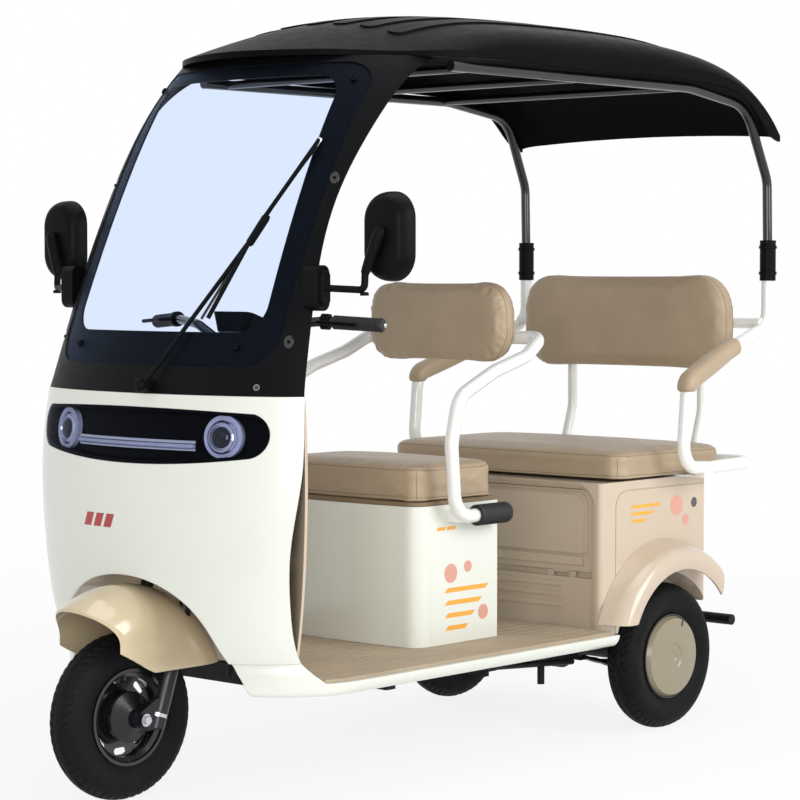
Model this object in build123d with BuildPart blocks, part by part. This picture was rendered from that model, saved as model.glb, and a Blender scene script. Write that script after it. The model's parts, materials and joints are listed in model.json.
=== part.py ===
"""Three-wheeled electric tricycle with a roof, two benches and a storage box.

The vehicle faces -Y, +X is its left side and +Z is up. The ground is Z = 0.
"""

import os
from math import cos, radians, sin, sqrt, tan

from build123d import *

os.makedirs("parts", exist_ok=True)

# --- Driving dimensions, in millimetres and degrees --------------------------
front_axle_y = -868.0       # puts the origin under the middle of the vehicle
wheelbase = 1515.0
track = 702.0
wheel_od = 370.0
tyre_width = 88.0
rim_diameter = 214.0
axle_height = wheel_od / 2

floor_height = 280.0        # top of the floor mat
mat_thickness = 7.0
body_half_width = 430.0     # running board
floor_front = 205.0         # these distances are behind the front axle
floor_rear = wheelbase - 275.0
shell_wall = 8.0
fit_gap = 0.3               # between panels that are fastened together
pin_clearance = 0.1         # hinge pin in its knuckle, on the radius

steering_rake = 19.0
steering_offset = 75.0      # steering axis behind the front axle, at axle height
fork_spacing = 140.0
leg_offset = 25.0           # fork legs ahead of the steering axis
bar_height = 1000.0         # handlebar clamp

cowl_bottom = 895.0
glass_bottom = 957.0
glass_top = 1628.0
glass_half_width = 347.0
glass_thickness = 4.0
frame_wall = 10.0
header_top = 1645.0         # where the windshield frame ends under the roof
header_rear = 600.0
roof_wall = 8.0
roof_rear = wheelbase + 400.0

box_front = 682.0           # front seat box
box_rear = 985.0
box_half_width = 255.0
box_top = 612.0
box_wall = 10.0
battery_size = (300.0, 180.0, 200.0)
front_cushion_top = 708.0
seat_base_thickness = 9.0

rear_body_front = wheelbase - 268.0
door_face = wheelbase - 213.0
rear_body_rear = wheelbase + 175.0
rear_body_half_width = 370.0
rear_body_top = 640.0
body_wall = 10.0
door_bottom = 412.0
door_top = 618.0
door_half_width = 312.0
door_thickness = 14.0
rear_cushion_bottom = 646.0
rear_cushion_top = 716.0
rear_cushion_half_width = 400.0

rail_tube = 33.0            # white handrails
roof_tube = 25.0
post_x = 410.0              # canopy posts
post_y = wheelbase + 391.0
sleeve_bottom = 1138.0
sleeve_top = 1244.0
arm_x = 452.0               # rear handrail uprights
side_grip_reach = 45.0      # from the box's side to the grip
side_grip_x = box_half_width + side_grip_reach
side_grip_height = 586.0
side_grip_end = 970.0


# --- Planes and shared operations --------------------------------------------
def plan(height):
    """Horizontal plane; its y runs rearward from the front axle."""
    return Plane(origin=(0, front_axle_y, height))


def side(x):
    """Plane seen from the left; its x runs rearward and its y is height."""
    return Plane(origin=(x, front_axle_y, 0), x_dir=(0, 1, 0), z_dir=(1, 0, 0))


def across(y):
    """Plane seen from the front; its x is the vehicle's X, its y is height."""
    return Plane(origin=(0, front_axle_y + y, 0), x_dir=(1, 0, 0), z_dir=(0, -1, 0))


def at(x, y, z):
    """Point given by its distance behind the front axle."""
    return (x, front_axle_y + y, z)


def steering_y(height):
    return steering_offset + (height - axle_height) * tan(radians(steering_rake))


def steering_plane(height):
    """Plane square to the steering axis, centred on it."""
    lean = radians(steering_rake)
    return Plane(
        origin=at(0, steering_y(height), height),
        x_dir=(1, 0, 0),
        z_dir=(0, sin(lean), cos(lean)),
    )


def add_tube(points, bend, diameter, mode=Mode.ADD):
    """Round tube through points, with bends of the given radius."""
    with BuildLine(mode=Mode.PRIVATE) as route:
        FilletPolyline(*[at(*point) for point in points], radius=bend)
    path = route.line
    with BuildSketch(Plane(origin=path @ 0, z_dir=path % 0), mode=Mode.PRIVATE) as ring:
        Circle(diameter / 2)
    sweep(ring.sketch, path=path, mode=mode)


def add_rod(start, end, diameter, mode=Mode.ADD):
    """Straight round bar between two points."""
    start, end = Vector(*at(*start)), Vector(*at(*end))
    with BuildSketch(Plane(origin=start, z_dir=end - start), mode=Mode.PRIVATE) as ring:
        Circle(diameter / 2)
    extrude(ring.sketch, amount=(end - start).length, mode=mode)


def add_block(x, y, z, mode=Mode.ADD):
    """Box between two limits on each axis."""
    with Locations(at((x[0] + x[1]) / 2, (y[0] + y[1]) / 2, (z[0] + z[1]) / 2)):
        Box(x[1] - x[0], y[1] - y[0], z[1] - z[0], mode=mode)


def mirrored(points):
    """The same route on the right-hand side, run backwards."""
    return [(-x, y, z) for x, y, z in reversed(points)]


def write(builder, name):
    builder.part.label = name
    export_step(builder.part, f"parts/{name}.step")


# --- Cab front: one lofted form, split into shell, frame and windshield ------
# Each station: height, half width, depth of the rounded nose, and where that
# depth starts behind the front axle.
sill_stations = [
    (244, 414, 250, 300), (258, 429, 270, 310), (275, 433, 275, 315), (290, 425, 262, 300),
    (304, 406, 240, 275), (320, 390, 228, 255), (336, 386, 222, 247),
]
shell_stations = [
    (310, 387, 225, 250), (417, 407, 190, 200), (524, 431, 190, 200), (631, 445, 188, 200),
    (738, 449, 182, 200), (845, 440, 169, 200), (952, 421, 150, 200),
]
frame_stations = [
    (890, 429, 155, 196), (1060, 422, 155, 256), (1230, 421, 155, 327), (1400, 413, 158, 408),
    (1560, 391, 178, 509), (1650, 364, 216, 598), (1740, 316, 250, 710),
]
nose_run_back = 260.0


def nose_outline(station, inset, run_back=nose_run_back):
    height, half_width, depth, start = station
    half_width, depth = half_width - inset, depth - inset
    with BuildSketch(plan(height), mode=Mode.PRIVATE) as outline:
        with BuildLine():
            nose = EllipticalCenterArc((0, start), half_width, depth, 180, arc_size=180)
            Polyline(
                nose @ 1,
                (half_width, start + run_back - inset),
                (-half_width, start + run_back - inset),
                nose @ 0,
            )
        make_face()
    return outline.sketch


def add_nose(stations, inset, run_back=nose_run_back, mode=Mode.ADD):
    loft([nose_outline(station, inset, run_back) for station in stations], mode=mode)


def cut_behind(points, reach=700):
    """Remove what lies behind a side-view curve, for a door opening."""
    with BuildSketch(side(-600), mode=Mode.PRIVATE) as opening:
        with BuildLine():
            edge = Spline(*points)
            Polyline(edge @ 1, (points[-1][0] + reach, points[-1][1]),
                     (points[-1][0] + reach, points[0][1]), edge @ 0)
        make_face()
    extrude(opening.sketch, amount=1200, mode=Mode.SUBTRACT)


def arch_outline(grow=0.0):
    """Opening for the front wheel, seen from the front."""
    with BuildSketch(across(-200), mode=Mode.PRIVATE) as arch:
        with BuildLine():
            crown = Spline(
                (-303 - grow, 230), (-281 - grow, 268), (-221 - grow, 402), (0, 496 + grow),
                (221 + grow, 402), (281 + grow, 268), (303 + grow, 230),
            )
            Line(crown @ 1, crown @ 0)
        make_face()
    return arch.sketch


def cut_arch(grow=0.0):
    extrude(arch_outline(grow), amount=-420, mode=Mode.SUBTRACT)


def band_outline(grow=0.0):
    """Headlamp band, seen from the front: a long lens with round ends."""
    with BuildSketch(across(-200), mode=Mode.PRIVATE) as band:
        with BuildLine():
            top = ThreePointArc((-330, 858 + grow), (0, 866 + grow), (330, 858 + grow))
            right = ThreePointArc(top @ 1, (366 + grow, 815), (320, 762 - grow))
            bottom = ThreePointArc(right @ 1, (0, 742 - grow), (-320, 762 - grow))
            ThreePointArc(bottom @ 1, (-366 - grow, 815), top @ 0)
        make_face()
    return band.sketch


shell_rear_edge = [
    (166, 930), (158, 895), (141, 741), (126, 565), (136, 450), (159, 366), (188, 316), (215, 290),
]
door_edge = [
    (148, 860), (178, 975), (225, 1140), (300, 1322), (400, 1476), (500, 1577), (600, 1634),
    (747, 1652),
]

with BuildPart() as front_shell:
    add_nose(shell_stations, 0)
    add_nose(shell_stations, shell_wall, mode=Mode.SUBTRACT)
    add_block((-500, 500), (-100, 700), (200, 317), mode=Mode.SUBTRACT)
    add_block((-500, 500), (-100, 700), (cowl_bottom, 960), mode=Mode.SUBTRACT)
    cut_behind(shell_rear_edge)
    cut_arch()
    extrude(band_outline(), amount=-420, mode=Mode.SUBTRACT)
write(front_shell, "front_shell")

# --- Roof: one lofted form, shelled ------------------------------------------
# Each station: distance behind the front axle, half width, height of the side
# where the shoulder starts, height of the shoulder and height of the crown.
roof_stations = [
    (300, 420, 1484, 1567, 1648), (480, 424, 1560, 1635, 1708), (660, 428, 1618, 1687, 1750),
    (840, 431, 1647, 1721, 1771), (1020, 434, 1656, 1730, 1779), (1200, 437, 1658, 1732, 1781),
    (wheelbase - 135, 440, 1656, 1730, 1779), (wheelbase + 45, 443, 1648, 1718, 1768),
    (wheelbase + 165, 445, 1630, 1698, 1748), (wheelbase + 265, 447, 1596, 1662, 1712),
    (wheelbase + 345, 449, 1550, 1602, 1644), (roof_rear, 450, 1508, 1526, 1536),
]
roof_base = 1400.0
shoulder_share = 0.84       # where the roof's crown meets its rounded shoulders
roof_cut_rear = roof_rear + 35
roof_side_edge = [
    (300, 1645), (450, 1645), (600, 1645), (747, 1645), (1194, 1641), (wheelbase + 125, 1634),
    (wheelbase + 255, 1600), (wheelbase + 347, 1524), (roof_cut_rear, 1500),
]
roof_front = (1500, 440, 520, 855)      # plan of the roof's front, as a nose station


def roof_outline(station, inset):
    y, half_width, side_top, shoulder, crown = station
    half_width, side_top, shoulder, crown = (
        half_width - inset, side_top - inset / 2, shoulder - inset, crown - inset,
    )
    with BuildSketch(across(y), mode=Mode.PRIVATE) as outline:
        with BuildLine():
            chord = shoulder_share * half_width
            rise = crown - shoulder
            slope = 2 * chord * rise / (chord**2 - rise**2)
            corner = shoulder - (half_width - chord) * slope
            left = Bezier((-half_width, side_top), (-half_width, corner), (-chord, shoulder))
            top = ThreePointArc(left @ 1, (0, crown), (chord, shoulder))
            right = Bezier(top @ 1, (half_width, corner), (half_width, side_top))
            Polyline(right @ 1, (half_width, roof_base), (-half_width, roof_base), left @ 0)
        make_face()
    return outline.sketch


def add_roof(inset, mode=Mode.ADD):
    loft([roof_outline(station, inset) for station in roof_stations], mode=mode)


def cut_below_roof_edge():
    with BuildSketch(side(-600), mode=Mode.PRIVATE) as under:
        with BuildLine():
            edge = Spline(*roof_side_edge)
            Polyline(edge @ 1, (roof_cut_rear, 1300), (200, 1300), (200, 1645), edge @ 0)
        make_face()
    extrude(under.sketch, amount=1200, mode=Mode.SUBTRACT)


with BuildPart() as roof_room:
    add_roof(roof_wall)
    extrude(nose_outline(roof_front, roof_wall, run_back=2000), amount=400, mode=Mode.INTERSECT)
    add_block((-500, 500), (200, header_rear), (roof_base - 50, header_top + roof_wall),
              mode=Mode.SUBTRACT)

roof_rib_height = 4.0
roof_rib_size = (1060.0, 46.0)
roof_rib_middle = 1130.0
roof_rib_pitch = 86.0

with BuildPart() as roof_ribs:
    add_roof(-roof_rib_height)
    with BuildSketch(plan(roof_base), mode=Mode.PRIVATE) as rib_plan:
        for rib in range(-3, 4):
            with Locations((rib * roof_rib_pitch, roof_rib_middle)):
                SlotOverall(*roof_rib_size, rotation=90)
    extrude(rib_plan.sketch, amount=500, mode=Mode.INTERSECT)
    add_roof(roof_wall / 2, mode=Mode.SUBTRACT)

with BuildPart() as roof_canopy:
    add_roof(0)
    extrude(nose_outline(roof_front, 0, run_back=2000), amount=400, mode=Mode.INTERSECT)
    cut_below_roof_edge()
    add(roof_room.part, mode=Mode.SUBTRACT)
    add(roof_ribs.part)
write(roof_canopy, "roof_canopy")

# --- Windshield and its black frame ------------------------------------------


def pane_outline(grow=0.0):
    with BuildSketch(across(-200), mode=Mode.PRIVATE) as pane:
        with Locations((0, (glass_bottom + glass_top) / 2)):
            RectangleRounded(
                2 * (glass_half_width + grow), glass_top - glass_bottom + 2 * grow, 70 + grow
            )
    return pane.sketch


def clear_outline():
    """The see-through part of the windshield, wider at its foot."""
    with BuildSketch(across(-200), mode=Mode.PRIVATE) as clear:
        with BuildLine():
            FilletPolyline(
                (-302, 1030), (302, 1030), (294, 1330), (286, 1598), (-286, 1598), (-294, 1330),
                radius=56, close=True,
            )
        make_face()
    return clear.sketch


pane_reach = 900.0

with BuildPart() as glass_blank:
    add_nose(frame_stations, 0)
    add_nose(frame_stations, glass_thickness, mode=Mode.SUBTRACT)

with BuildPart() as windshield:
    add(glass_blank.part)
    extrude(pane_outline(), amount=-pane_reach, mode=Mode.INTERSECT)
    cut_behind([(y - 12, z) for y, z in door_edge])
    add_block((-500, 500), (540, 1300), (900, 1800), mode=Mode.SUBTRACT)
write(windshield, "windshield")

with BuildPart() as pane_seat:
    add_nose(frame_stations, -1)
    add_nose(frame_stations, glass_thickness + fit_gap, mode=Mode.SUBTRACT)
    extrude(pane_outline(fit_gap), amount=-pane_reach, mode=Mode.INTERSECT)

with BuildPart() as front_frame:
    add_nose(frame_stations, 0)
    add_nose(frame_stations, frame_wall, mode=Mode.SUBTRACT)
    add_block((-500, 500), (-100, 1300), (880, cowl_bottom + fit_gap), mode=Mode.SUBTRACT)
    cut_behind(door_edge)
    add(pane_seat.part, mode=Mode.SUBTRACT)
    extrude(clear_outline(), amount=-620, mode=Mode.SUBTRACT)
    add_block((-500, 500), (-100, 1300), (header_top - fit_gap, 1800), mode=Mode.SUBTRACT)
write(front_frame, "front_frame")

# --- Dashboard and leg shield behind the shell --------------------------------
shield_back = 388.0
shield_top = 958.0
shield_wall = 6.0
shield_foot_front = 230.0       # behind the sloping front edge of the floor


def shield_outline(inset, height=floor_height - mat_thickness):
    """Plan of the leg shield: a wide column with swept wings."""
    with BuildSketch(plan(height), mode=Mode.PRIVATE) as outline:
        with BuildLine():
            FilletPolyline(
                (-440, 148), (-330, 205), (-215, 330), (-120, shield_back),
                (120, shield_back), (215, 330), (330, 205), (440, 148),
                (440, -60), (-440, -60), radius=30, close=True,
            )
        make_face()
        if inset:
            offset(amount=-inset)
    return outline.sketch


liner_front = 30.0
liner_back = 312.0
liner_wall = 6.0

with BuildPart() as shell_inside:
    add_nose(shell_stations, shell_wall + 0.8)
    add_block((-500, 500), (-100, 800), (cowl_bottom, 1000), mode=Mode.SUBTRACT)
    add_nose(frame_stations, frame_wall + 0.8)
    add_block((-500, 500), (-100, shield_foot_front), (200, 318), mode=Mode.SUBTRACT)
    add_block((-330, 330), (shield_foot_front, 420), (200, 330))

shield_height = shield_top - floor_height + mat_thickness

with BuildPart() as wheel_liner:
    extrude(arch_outline(12), amount=-(200 + liner_back))
    extrude(arch_outline(12 - liner_wall), amount=-(200 + liner_back - liner_wall),
            mode=Mode.SUBTRACT)
    add_block((-500, 500), (-300, liner_front), (0, 700), mode=Mode.SUBTRACT)
    add_block((-100, 100), (30, liner_back - 60), (380, 700), mode=Mode.SUBTRACT)
    extrude(shield_outline(0), amount=shield_height, mode=Mode.INTERSECT)

with BuildPart() as leg_shield:
    extrude(shield_outline(0), amount=shield_height)
    extrude(shield_outline(shield_wall), amount=shield_height - shield_wall, mode=Mode.SUBTRACT)
    extrude(arch_outline(12 - liner_wall), amount=-(200 + liner_back - liner_wall),
            mode=Mode.SUBTRACT)
    add(wheel_liner.part)
    add(shell_inside.part, mode=Mode.INTERSECT)
    with BuildSketch(steering_plane(shield_top)) as column_hole:
        Circle(24)
    extrude(column_hole.sketch, amount=40, both=True, mode=Mode.SUBTRACT)
write(leg_shield, "leg_shield")

# --- Frame, running board and mat ---------------------------------------------
deck_top = floor_height - mat_thickness - fit_gap
deck_thickness = 10.0
rail_top = deck_top - deck_thickness - fit_gap
rail_x = 200.0
rail_size = (40.0, 45.0)
rail_front = 330.0
rail_rear = wheelbase + 185.0
head_top = 735.0
head_bottom = 590.0
head_tube = 50.0
stem_diameter = 28.0
spring_x = 246.0
spring_reach = 205.0
bumper_y = wheelbase + 245.0
bumper_height = 255.0
bumper_half_width = 405.0
brake_bar_x = 250.0
brake_bar_rear = wheelbase - 231.0

with BuildPart() as frame:
    for rail_centre in (-rail_x, rail_x):
        add_block(
            (rail_centre - rail_size[0] / 2, rail_centre + rail_size[0] / 2),
            (rail_front, rail_rear), (rail_top - rail_size[1], rail_top),
        )
    for cross_y in (rail_front, 690, 1040, wheelbase - 215, rail_rear - 40):
        add_block(
            (-rail_x, rail_x), (cross_y, cross_y + 40), (rail_top - rail_size[1], rail_top)
        )
    for outrigger_y in (430, 780, 1120):
        for start, end in ((-400, -rail_x), (rail_x, 400)):
            add_block((start, end), (outrigger_y, outrigger_y + 30), (rail_top - 30, rail_top))
    for hanger_y in (wheelbase - spring_reach, wheelbase + spring_reach):
        for start, end in ((-spring_x - 24, -rail_x), (rail_x, spring_x + 24)):
            add_block((start, end), (hanger_y - 15, hanger_y + 15), (rail_top - 30, rail_top))
    add_rod((-bumper_half_width, bumper_y, bumper_height),
            (bumper_half_width, bumper_y, bumper_height), 28)
    add_rod((brake_bar_x, 938, 208), (brake_bar_x, brake_bar_rear, 184), 16)
    for bracket_y in (948, brake_bar_rear - 22):
        add_block((rail_x, brake_bar_x + 4), (bracket_y - 8, bracket_y + 8), (186, 232))
    add_rod((brake_bar_x, 1160, 195), (brake_bar_x, 1160, 142), 18)
    for sign in (-1, 1):
        start, end = sorted((sign * (rail_x - 12), sign * (rail_x + 12)))
        add_block((start, end), (rail_rear - 1, bumper_y - 4), (236, rail_top - 4))
    add_tube(
        [(0, 350, rail_top - 30), (0, 350, 510), (0, steering_y(665), 665)], 60, 44
    )
    with BuildSketch(steering_plane(head_bottom)) as head_section:
        Circle(head_tube / 2)
    extrude(head_section.sketch,
            amount=(head_top - head_bottom) / cos(radians(steering_rake)))
    with BuildSketch(steering_plane(head_bottom)) as head_bore:
        Circle(stem_diameter / 2 + fit_gap)
    extrude(head_bore.sketch, amount=400, both=True, mode=Mode.SUBTRACT)
write(frame, "frame")

with BuildPart() as wheel_room:
    extrude(arch_outline(0), amount=-(200 + liner_back))
    extrude(shield_outline(0, 200), amount=400, mode=Mode.INTERSECT)

board_run = floor_rear - 140.0
with BuildPart() as board_room:
    add_nose(sill_stations, shell_wall, run_back=board_run)
    add_block((-500, 500), (floor_front, floor_rear + 260), (deck_top - deck_thickness, 400),
              mode=Mode.SUBTRACT)
    add_block((-500, 500), (floor_rear - shell_wall, floor_rear + 260), (200, 400), mode=Mode.SUBTRACT)

with BuildPart() as running_board:
    add_nose(sill_stations, 0, run_back=board_run)
    add(board_room.part, mode=Mode.SUBTRACT)
    add_block((-500, 500), (-100, floor_rear + 260), (317 - fit_gap, 950), mode=Mode.SUBTRACT)
    with BuildSketch(side(-600), mode=Mode.PRIVATE) as above_deck:
        with BuildLine():
            Polyline((188, 340), (188, 317), (205, 292), (floor_front + 22, deck_top),
                     (floor_rear + 260, deck_top), (floor_rear + 260, 340), close=True)
        make_face()
    extrude(above_deck.sketch, amount=1200, mode=Mode.SUBTRACT)
    add_block((-500, 500), (floor_rear, floor_rear + 260), (200, 400), mode=Mode.SUBTRACT)
    cut_arch()
    add(wheel_room.part, mode=Mode.SUBTRACT)
    add_block((-40, 40), (liner_back - 20, 380), (200, 400), mode=Mode.SUBTRACT)
    for rail_centre in (-rail_x, rail_x):
        add_block((rail_centre - rail_size[0] / 2 - 1, rail_centre + rail_size[0] / 2 + 1),
                  (floor_rear - 40, floor_rear + 1), (240, rail_top + fit_gap),
                  mode=Mode.SUBTRACT)
write(running_board, "running_board")

mat_groove_pitch = 38.0
with BuildPart() as floor_mat:
    with BuildSketch(plan(floor_height - mat_thickness)) as mat:
        with Locations((0, (floor_front + floor_rear) / 2 + 10)):
            RectangleRounded(2 * body_half_width - 16, floor_rear - floor_front - 30, 24)
    extrude(mat.sketch, amount=mat_thickness)
    mat_bottom = floor_height - mat_thickness
    extrude(nose_outline((mat_bottom, 418, 262, 300), 0, run_back=board_run), amount=mat_thickness,
            mode=Mode.INTERSECT)
    for groove in range(-10, 11):
        add_block(
            (groove * mat_groove_pitch - 3, groove * mat_groove_pitch + 3),
            (floor_front, floor_rear), (floor_height - 2, floor_height + 5), mode=Mode.SUBTRACT,
        )
    extrude(shield_outline(-fit_gap), amount=100, mode=Mode.SUBTRACT)
write(floor_mat, "floor_mat")

# --- Head lamps ----------------------------------------------------------------
ring_x = 252.0
ring_height = 806.0
lamp_depth = 34.0

with BuildPart() as headlamp_lens:
    add_nose(shell_stations, 0)
    add_nose(shell_stations, 3, mode=Mode.SUBTRACT)
    extrude(band_outline(-fit_gap), amount=-420, mode=Mode.INTERSECT)
    cut_behind([(y - 30, z) for y, z in shell_rear_edge])
write(headlamp_lens, "headlamp_lens")

lamp_wall = 6.0
lamp_room_inset, lamp_ring_inset = (lamp_wall + gap for gap in (0, fit_gap))

with BuildPart() as lamp_room:
    add_nose(shell_stations, 0)
    add_nose(shell_stations, lamp_depth - lamp_room_inset, mode=Mode.SUBTRACT)
    extrude(band_outline(-2 - lamp_room_inset), amount=-420, mode=Mode.INTERSECT)

with BuildPart() as lamp_ring_room:
    add_nose(shell_stations, 0)
    add_nose(shell_stations, lamp_depth - lamp_ring_inset, mode=Mode.SUBTRACT)
    extrude(band_outline(-2 - lamp_ring_inset), amount=-420, mode=Mode.INTERSECT)

with BuildPart() as headlamp_housing:
    add_nose(shell_stations, 3 + fit_gap)
    add_nose(shell_stations, lamp_depth, mode=Mode.SUBTRACT)
    extrude(band_outline(-fit_gap), amount=-420, mode=Mode.INTERSECT)
    cut_behind([(y - 22, z) for y, z in shell_rear_edge])
    add(lamp_room.part, mode=Mode.SUBTRACT)
write(headlamp_housing, "headlamp_housing")


def nose_y(stations, x, height, inset=0.0):
    """Distance behind the axle of the nose surface, between two stations."""
    below = max(s for s in stations if s[0] <= height)
    above = min(s for s in stations if s[0] > height)
    share = (height - below[0]) / (above[0] - below[0])
    half_width, depth, start = (
        below[i] + share * (above[i] - below[i]) for i in (1, 2, 3)
    )
    return start - (depth - inset) * sqrt(1 - (x / (half_width - inset)) ** 2)


def nose_plane(stations, x, height, inset=0.0, reach=40.0):
    """Plane lying on the nose, facing forward and outward."""
    here = nose_y(stations, x, height, inset)
    across_slope = (nose_y(stations, x + reach, height, inset) - here) / reach
    up_slope = (nose_y(stations, x, height + reach, inset) - here) / reach
    return Plane(
        origin=at(x, here, height),
        x_dir=Vector(1, across_slope, 0), z_dir=Vector(across_slope, -1, up_slope),
    )


with BuildPart() as lamp_rings:
    for sign in (-1, 1):
        lamp_seat = nose_plane(shell_stations, sign * ring_x, ring_height, lamp_depth - 10)
        with BuildSketch(lamp_seat) as ring:
            Circle(47)
            Circle(37, mode=Mode.SUBTRACT)
        extrude(ring.sketch, amount=10)
        with BuildSketch(lamp_seat) as projector:
            Circle(26)
        extrude(projector.sketch, amount=12)
        with BuildSketch(lamp_seat) as back_plate:
            Circle(47)
        extrude(back_plate.sketch, amount=3)
        extrude(back_plate.sketch, amount=-30)
    add(lamp_ring_room.part, mode=Mode.INTERSECT)
    add_nose(shell_stations, 4, mode=Mode.INTERSECT)
write(lamp_rings, "lamp_rings")

# --- Front wheel, fork and steering ---------------------------------------------


def tyre_outline(centre_x, axle_y):
    """Half section of a tyre, radius along the local y."""
    outer, bead = wheel_od / 2, rim_diameter / 2
    half = tyre_width / 2
    with BuildSketch(
        Plane(origin=at(centre_x, axle_y, axle_height), x_dir=(1, 0, 0), z_dir=(0, -1, 0)),
        mode=Mode.PRIVATE,
    ) as outline:
        with BuildLine():
            tread = ThreePointArc((-half * 0.72, outer - 10), (0, outer), (half * 0.72, outer - 10))
            right = ThreePointArc(tread @ 1, (half, (outer + bead) / 2), (half * 0.68, bead + fit_gap))
            foot = Line(right @ 1, (-half * 0.68, bead + fit_gap))
            ThreePointArc(foot @ 1, (-half, (outer + bead) / 2), tread @ 0)
        make_face()
    return outline.sketch


def wheel_axis(centre_x, axle_y):
    return Axis(at(centre_x, axle_y, axle_height), (1, 0, 0))


def add_tyre(centre_x, axle_y):
    revolve(tyre_outline(centre_x, axle_y), axis=wheel_axis(centre_x, axle_y))


axle_pin = 14.0
rim_radius = rim_diameter / 2
drum_radius = 66.0

with BuildPart() as front_tyre:
    add_tyre(0, 0)
write(front_tyre, "front_tyre")


def add_turned(centre_x, axle_y, outline, mode=Mode.ADD):
    """Solid of revolution about a wheel axle; outline points are (x, radius)."""
    plane = Plane(origin=at(centre_x, axle_y, axle_height), x_dir=(1, 0, 0), z_dir=(0, -1, 0))
    with BuildSketch(plane, mode=Mode.PRIVATE) as section:
        with BuildLine():
            Polyline(*outline, close=True)
        make_face()
    revolve(section.sketch, axis=wheel_axis(centre_x, axle_y), mode=mode)


slot_count = 8
with BuildPart() as front_rim:
    add_turned(0, 0, [
        (-34, rim_radius), (-34, rim_radius - 3), (-28, rim_radius - 5), (-22, rim_radius - 14),
        (-4, rim_radius - 14), (-12, 62), (-28, 56), (-28, axle_pin / 2 + fit_gap),
        (26, axle_pin / 2 + fit_gap), (26, 18), (14, 18), (14, 50), (-6, 58),
        (0, rim_radius - 18), (22, rim_radius - 18), (28, rim_radius - 9),
        (34, rim_radius - 7), (34, rim_radius), (30, rim_radius), (24, rim_radius - 10),
        (-24, rim_radius - 10), (-30, rim_radius),
    ])
    with BuildSketch(side(-60), mode=Mode.PRIVATE) as slots:
        with Locations((0, axle_height)):
            with PolarLocations(79, slot_count):
                SlotOverall(36, 15, rotation=90)
    extrude(slots.sketch, amount=90, mode=Mode.SUBTRACT)
write(front_rim, "front_rim")

crown_height = 545.0
leg_top = 560.0
lower_leg_top = 372.0
leg_diameter = 30.0
slider_diameter = 37.0


def leg_y(height):
    return steering_y(height) - leg_offset


with BuildPart() as front_fork:
    for leg_x in (-fork_spacing / 2, fork_spacing / 2):
        add_rod((leg_x, leg_y(lower_leg_top - 30), lower_leg_top - 30),
                (leg_x, leg_y(leg_top), leg_top), leg_diameter)
        add_rod((leg_x, leg_y(160), 160),
                (leg_x, leg_y(lower_leg_top), lower_leg_top), slider_diameter)
        inner, outer = sorted((leg_x * 0.9, leg_x * 1.14))
        with BuildSketch(side(inner), mode=Mode.PRIVATE) as lug:
            with BuildLine():
                Polyline((-16, axle_height - 12), (-10, axle_height + 18), (36, axle_height + 42),
                         (64, axle_height + 40), (60, axle_height - 22), (10, axle_height - 22),
                         close=True)
            make_face()
            fillet(lug.vertices(), 8)
        extrude(lug.sketch, amount=outer - inner)
    crown_plane = steering_plane(crown_height - 26)
    with BuildSketch(crown_plane) as crown:
        with Locations((0, -leg_offset * 0.9)):
            SlotOverall(fork_spacing + 58, 54)
        Circle(32)
    extrude(crown.sketch, amount=26)
    with BuildSketch(crown_plane) as stem:
        Circle(stem_diameter / 2)
    extrude(stem.sketch, amount=(bar_height - crown_height + 26) / cos(radians(steering_rake)))
    add_rod((-fork_spacing / 2 - 14, 0, axle_height), (fork_spacing / 2 + 14, 0, axle_height),
            axle_pin)
    add_turned(0, 0, [
        (28, axle_pin / 2 - 0.5), (28, 22), (18, 24), (18, 48), (24, 57), (32, 57), (38, 44),
        (50, 22), (fork_spacing / 2 - 5, 20), (fork_spacing / 2 - 5, axle_pin / 2 - 0.5),
    ])
    add_block((37, 44), (6, 78), (axle_height - 34, axle_height - 18))
write(front_fork, "front_fork")

fender_centre_z = axle_height + 20
fender_radius = 272.0
fender_half_width = 105.0
fender_dome = 96.0
fender_wall = 5.0


def fender_outline(inset):
    """Domed section of the fender: x across, y the distance from its centre."""
    half, rise = fender_half_width - inset, fender_dome - inset
    plane = Plane(origin=at(0, 0, fender_centre_z), x_dir=(1, 0, 0), z_dir=(0, -1, 0))
    with BuildSketch(plane, mode=Mode.PRIVATE) as outline:
        with BuildLine():
            dome = EllipticalCenterArc(
                (0, fender_radius - fender_dome), half, rise, 0, arc_size=180
            )
            Polyline(dome @ 1, (-half, 10), (half, 10), dome @ 0)
        make_face()
    return outline.sketch


fender_axis = Axis(at(0, 0, fender_centre_z), (1, 0, 0))
with BuildPart() as front_fender:
    revolve(fender_outline(0), axis=fender_axis)
    revolve(fender_outline(fender_wall), axis=fender_axis, mode=Mode.SUBTRACT)
    add_block((-200, 200), (-120, 120), (fender_centre_z - 60, fender_centre_z + 60),
              mode=Mode.SUBTRACT)
    with BuildSketch(side(-300), mode=Mode.PRIVATE) as lower:
        with BuildLine():
            FilletPolyline((-400, 520), (-194, 398), (8, 290), (400, 290), (400, -200),
                           (-400, -200), radius=18, close=True)
        make_face()
    extrude(lower.sketch, amount=600, mode=Mode.SUBTRACT)
    with BuildSketch(plan(150), mode=Mode.PRIVATE) as fender_plan:
        with BuildLine():
            tip = EllipticalCenterArc((0, -52), fender_half_width + 3, 94, 180, arc_size=180)
            Polyline(tip @ 1, (fender_half_width + 3, 400), (-fender_half_width - 3, 400), tip @ 0)
        make_face()
    extrude(fender_plan.sketch, amount=500, mode=Mode.INTERSECT)
    for leg_x in (-fork_spacing / 2, fork_spacing / 2):
        add_rod((leg_x, leg_y(200), 200), (leg_x, leg_y(620), 620),
                leg_diameter + 2 * fit_gap, mode=Mode.SUBTRACT)
        add_rod((leg_x, leg_y(160), 160), (leg_x, leg_y(lower_leg_top + 4), lower_leg_top + 4),
                slider_diameter + 2 * fit_gap, mode=Mode.SUBTRACT)
write(front_fender, "front_fender")

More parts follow.
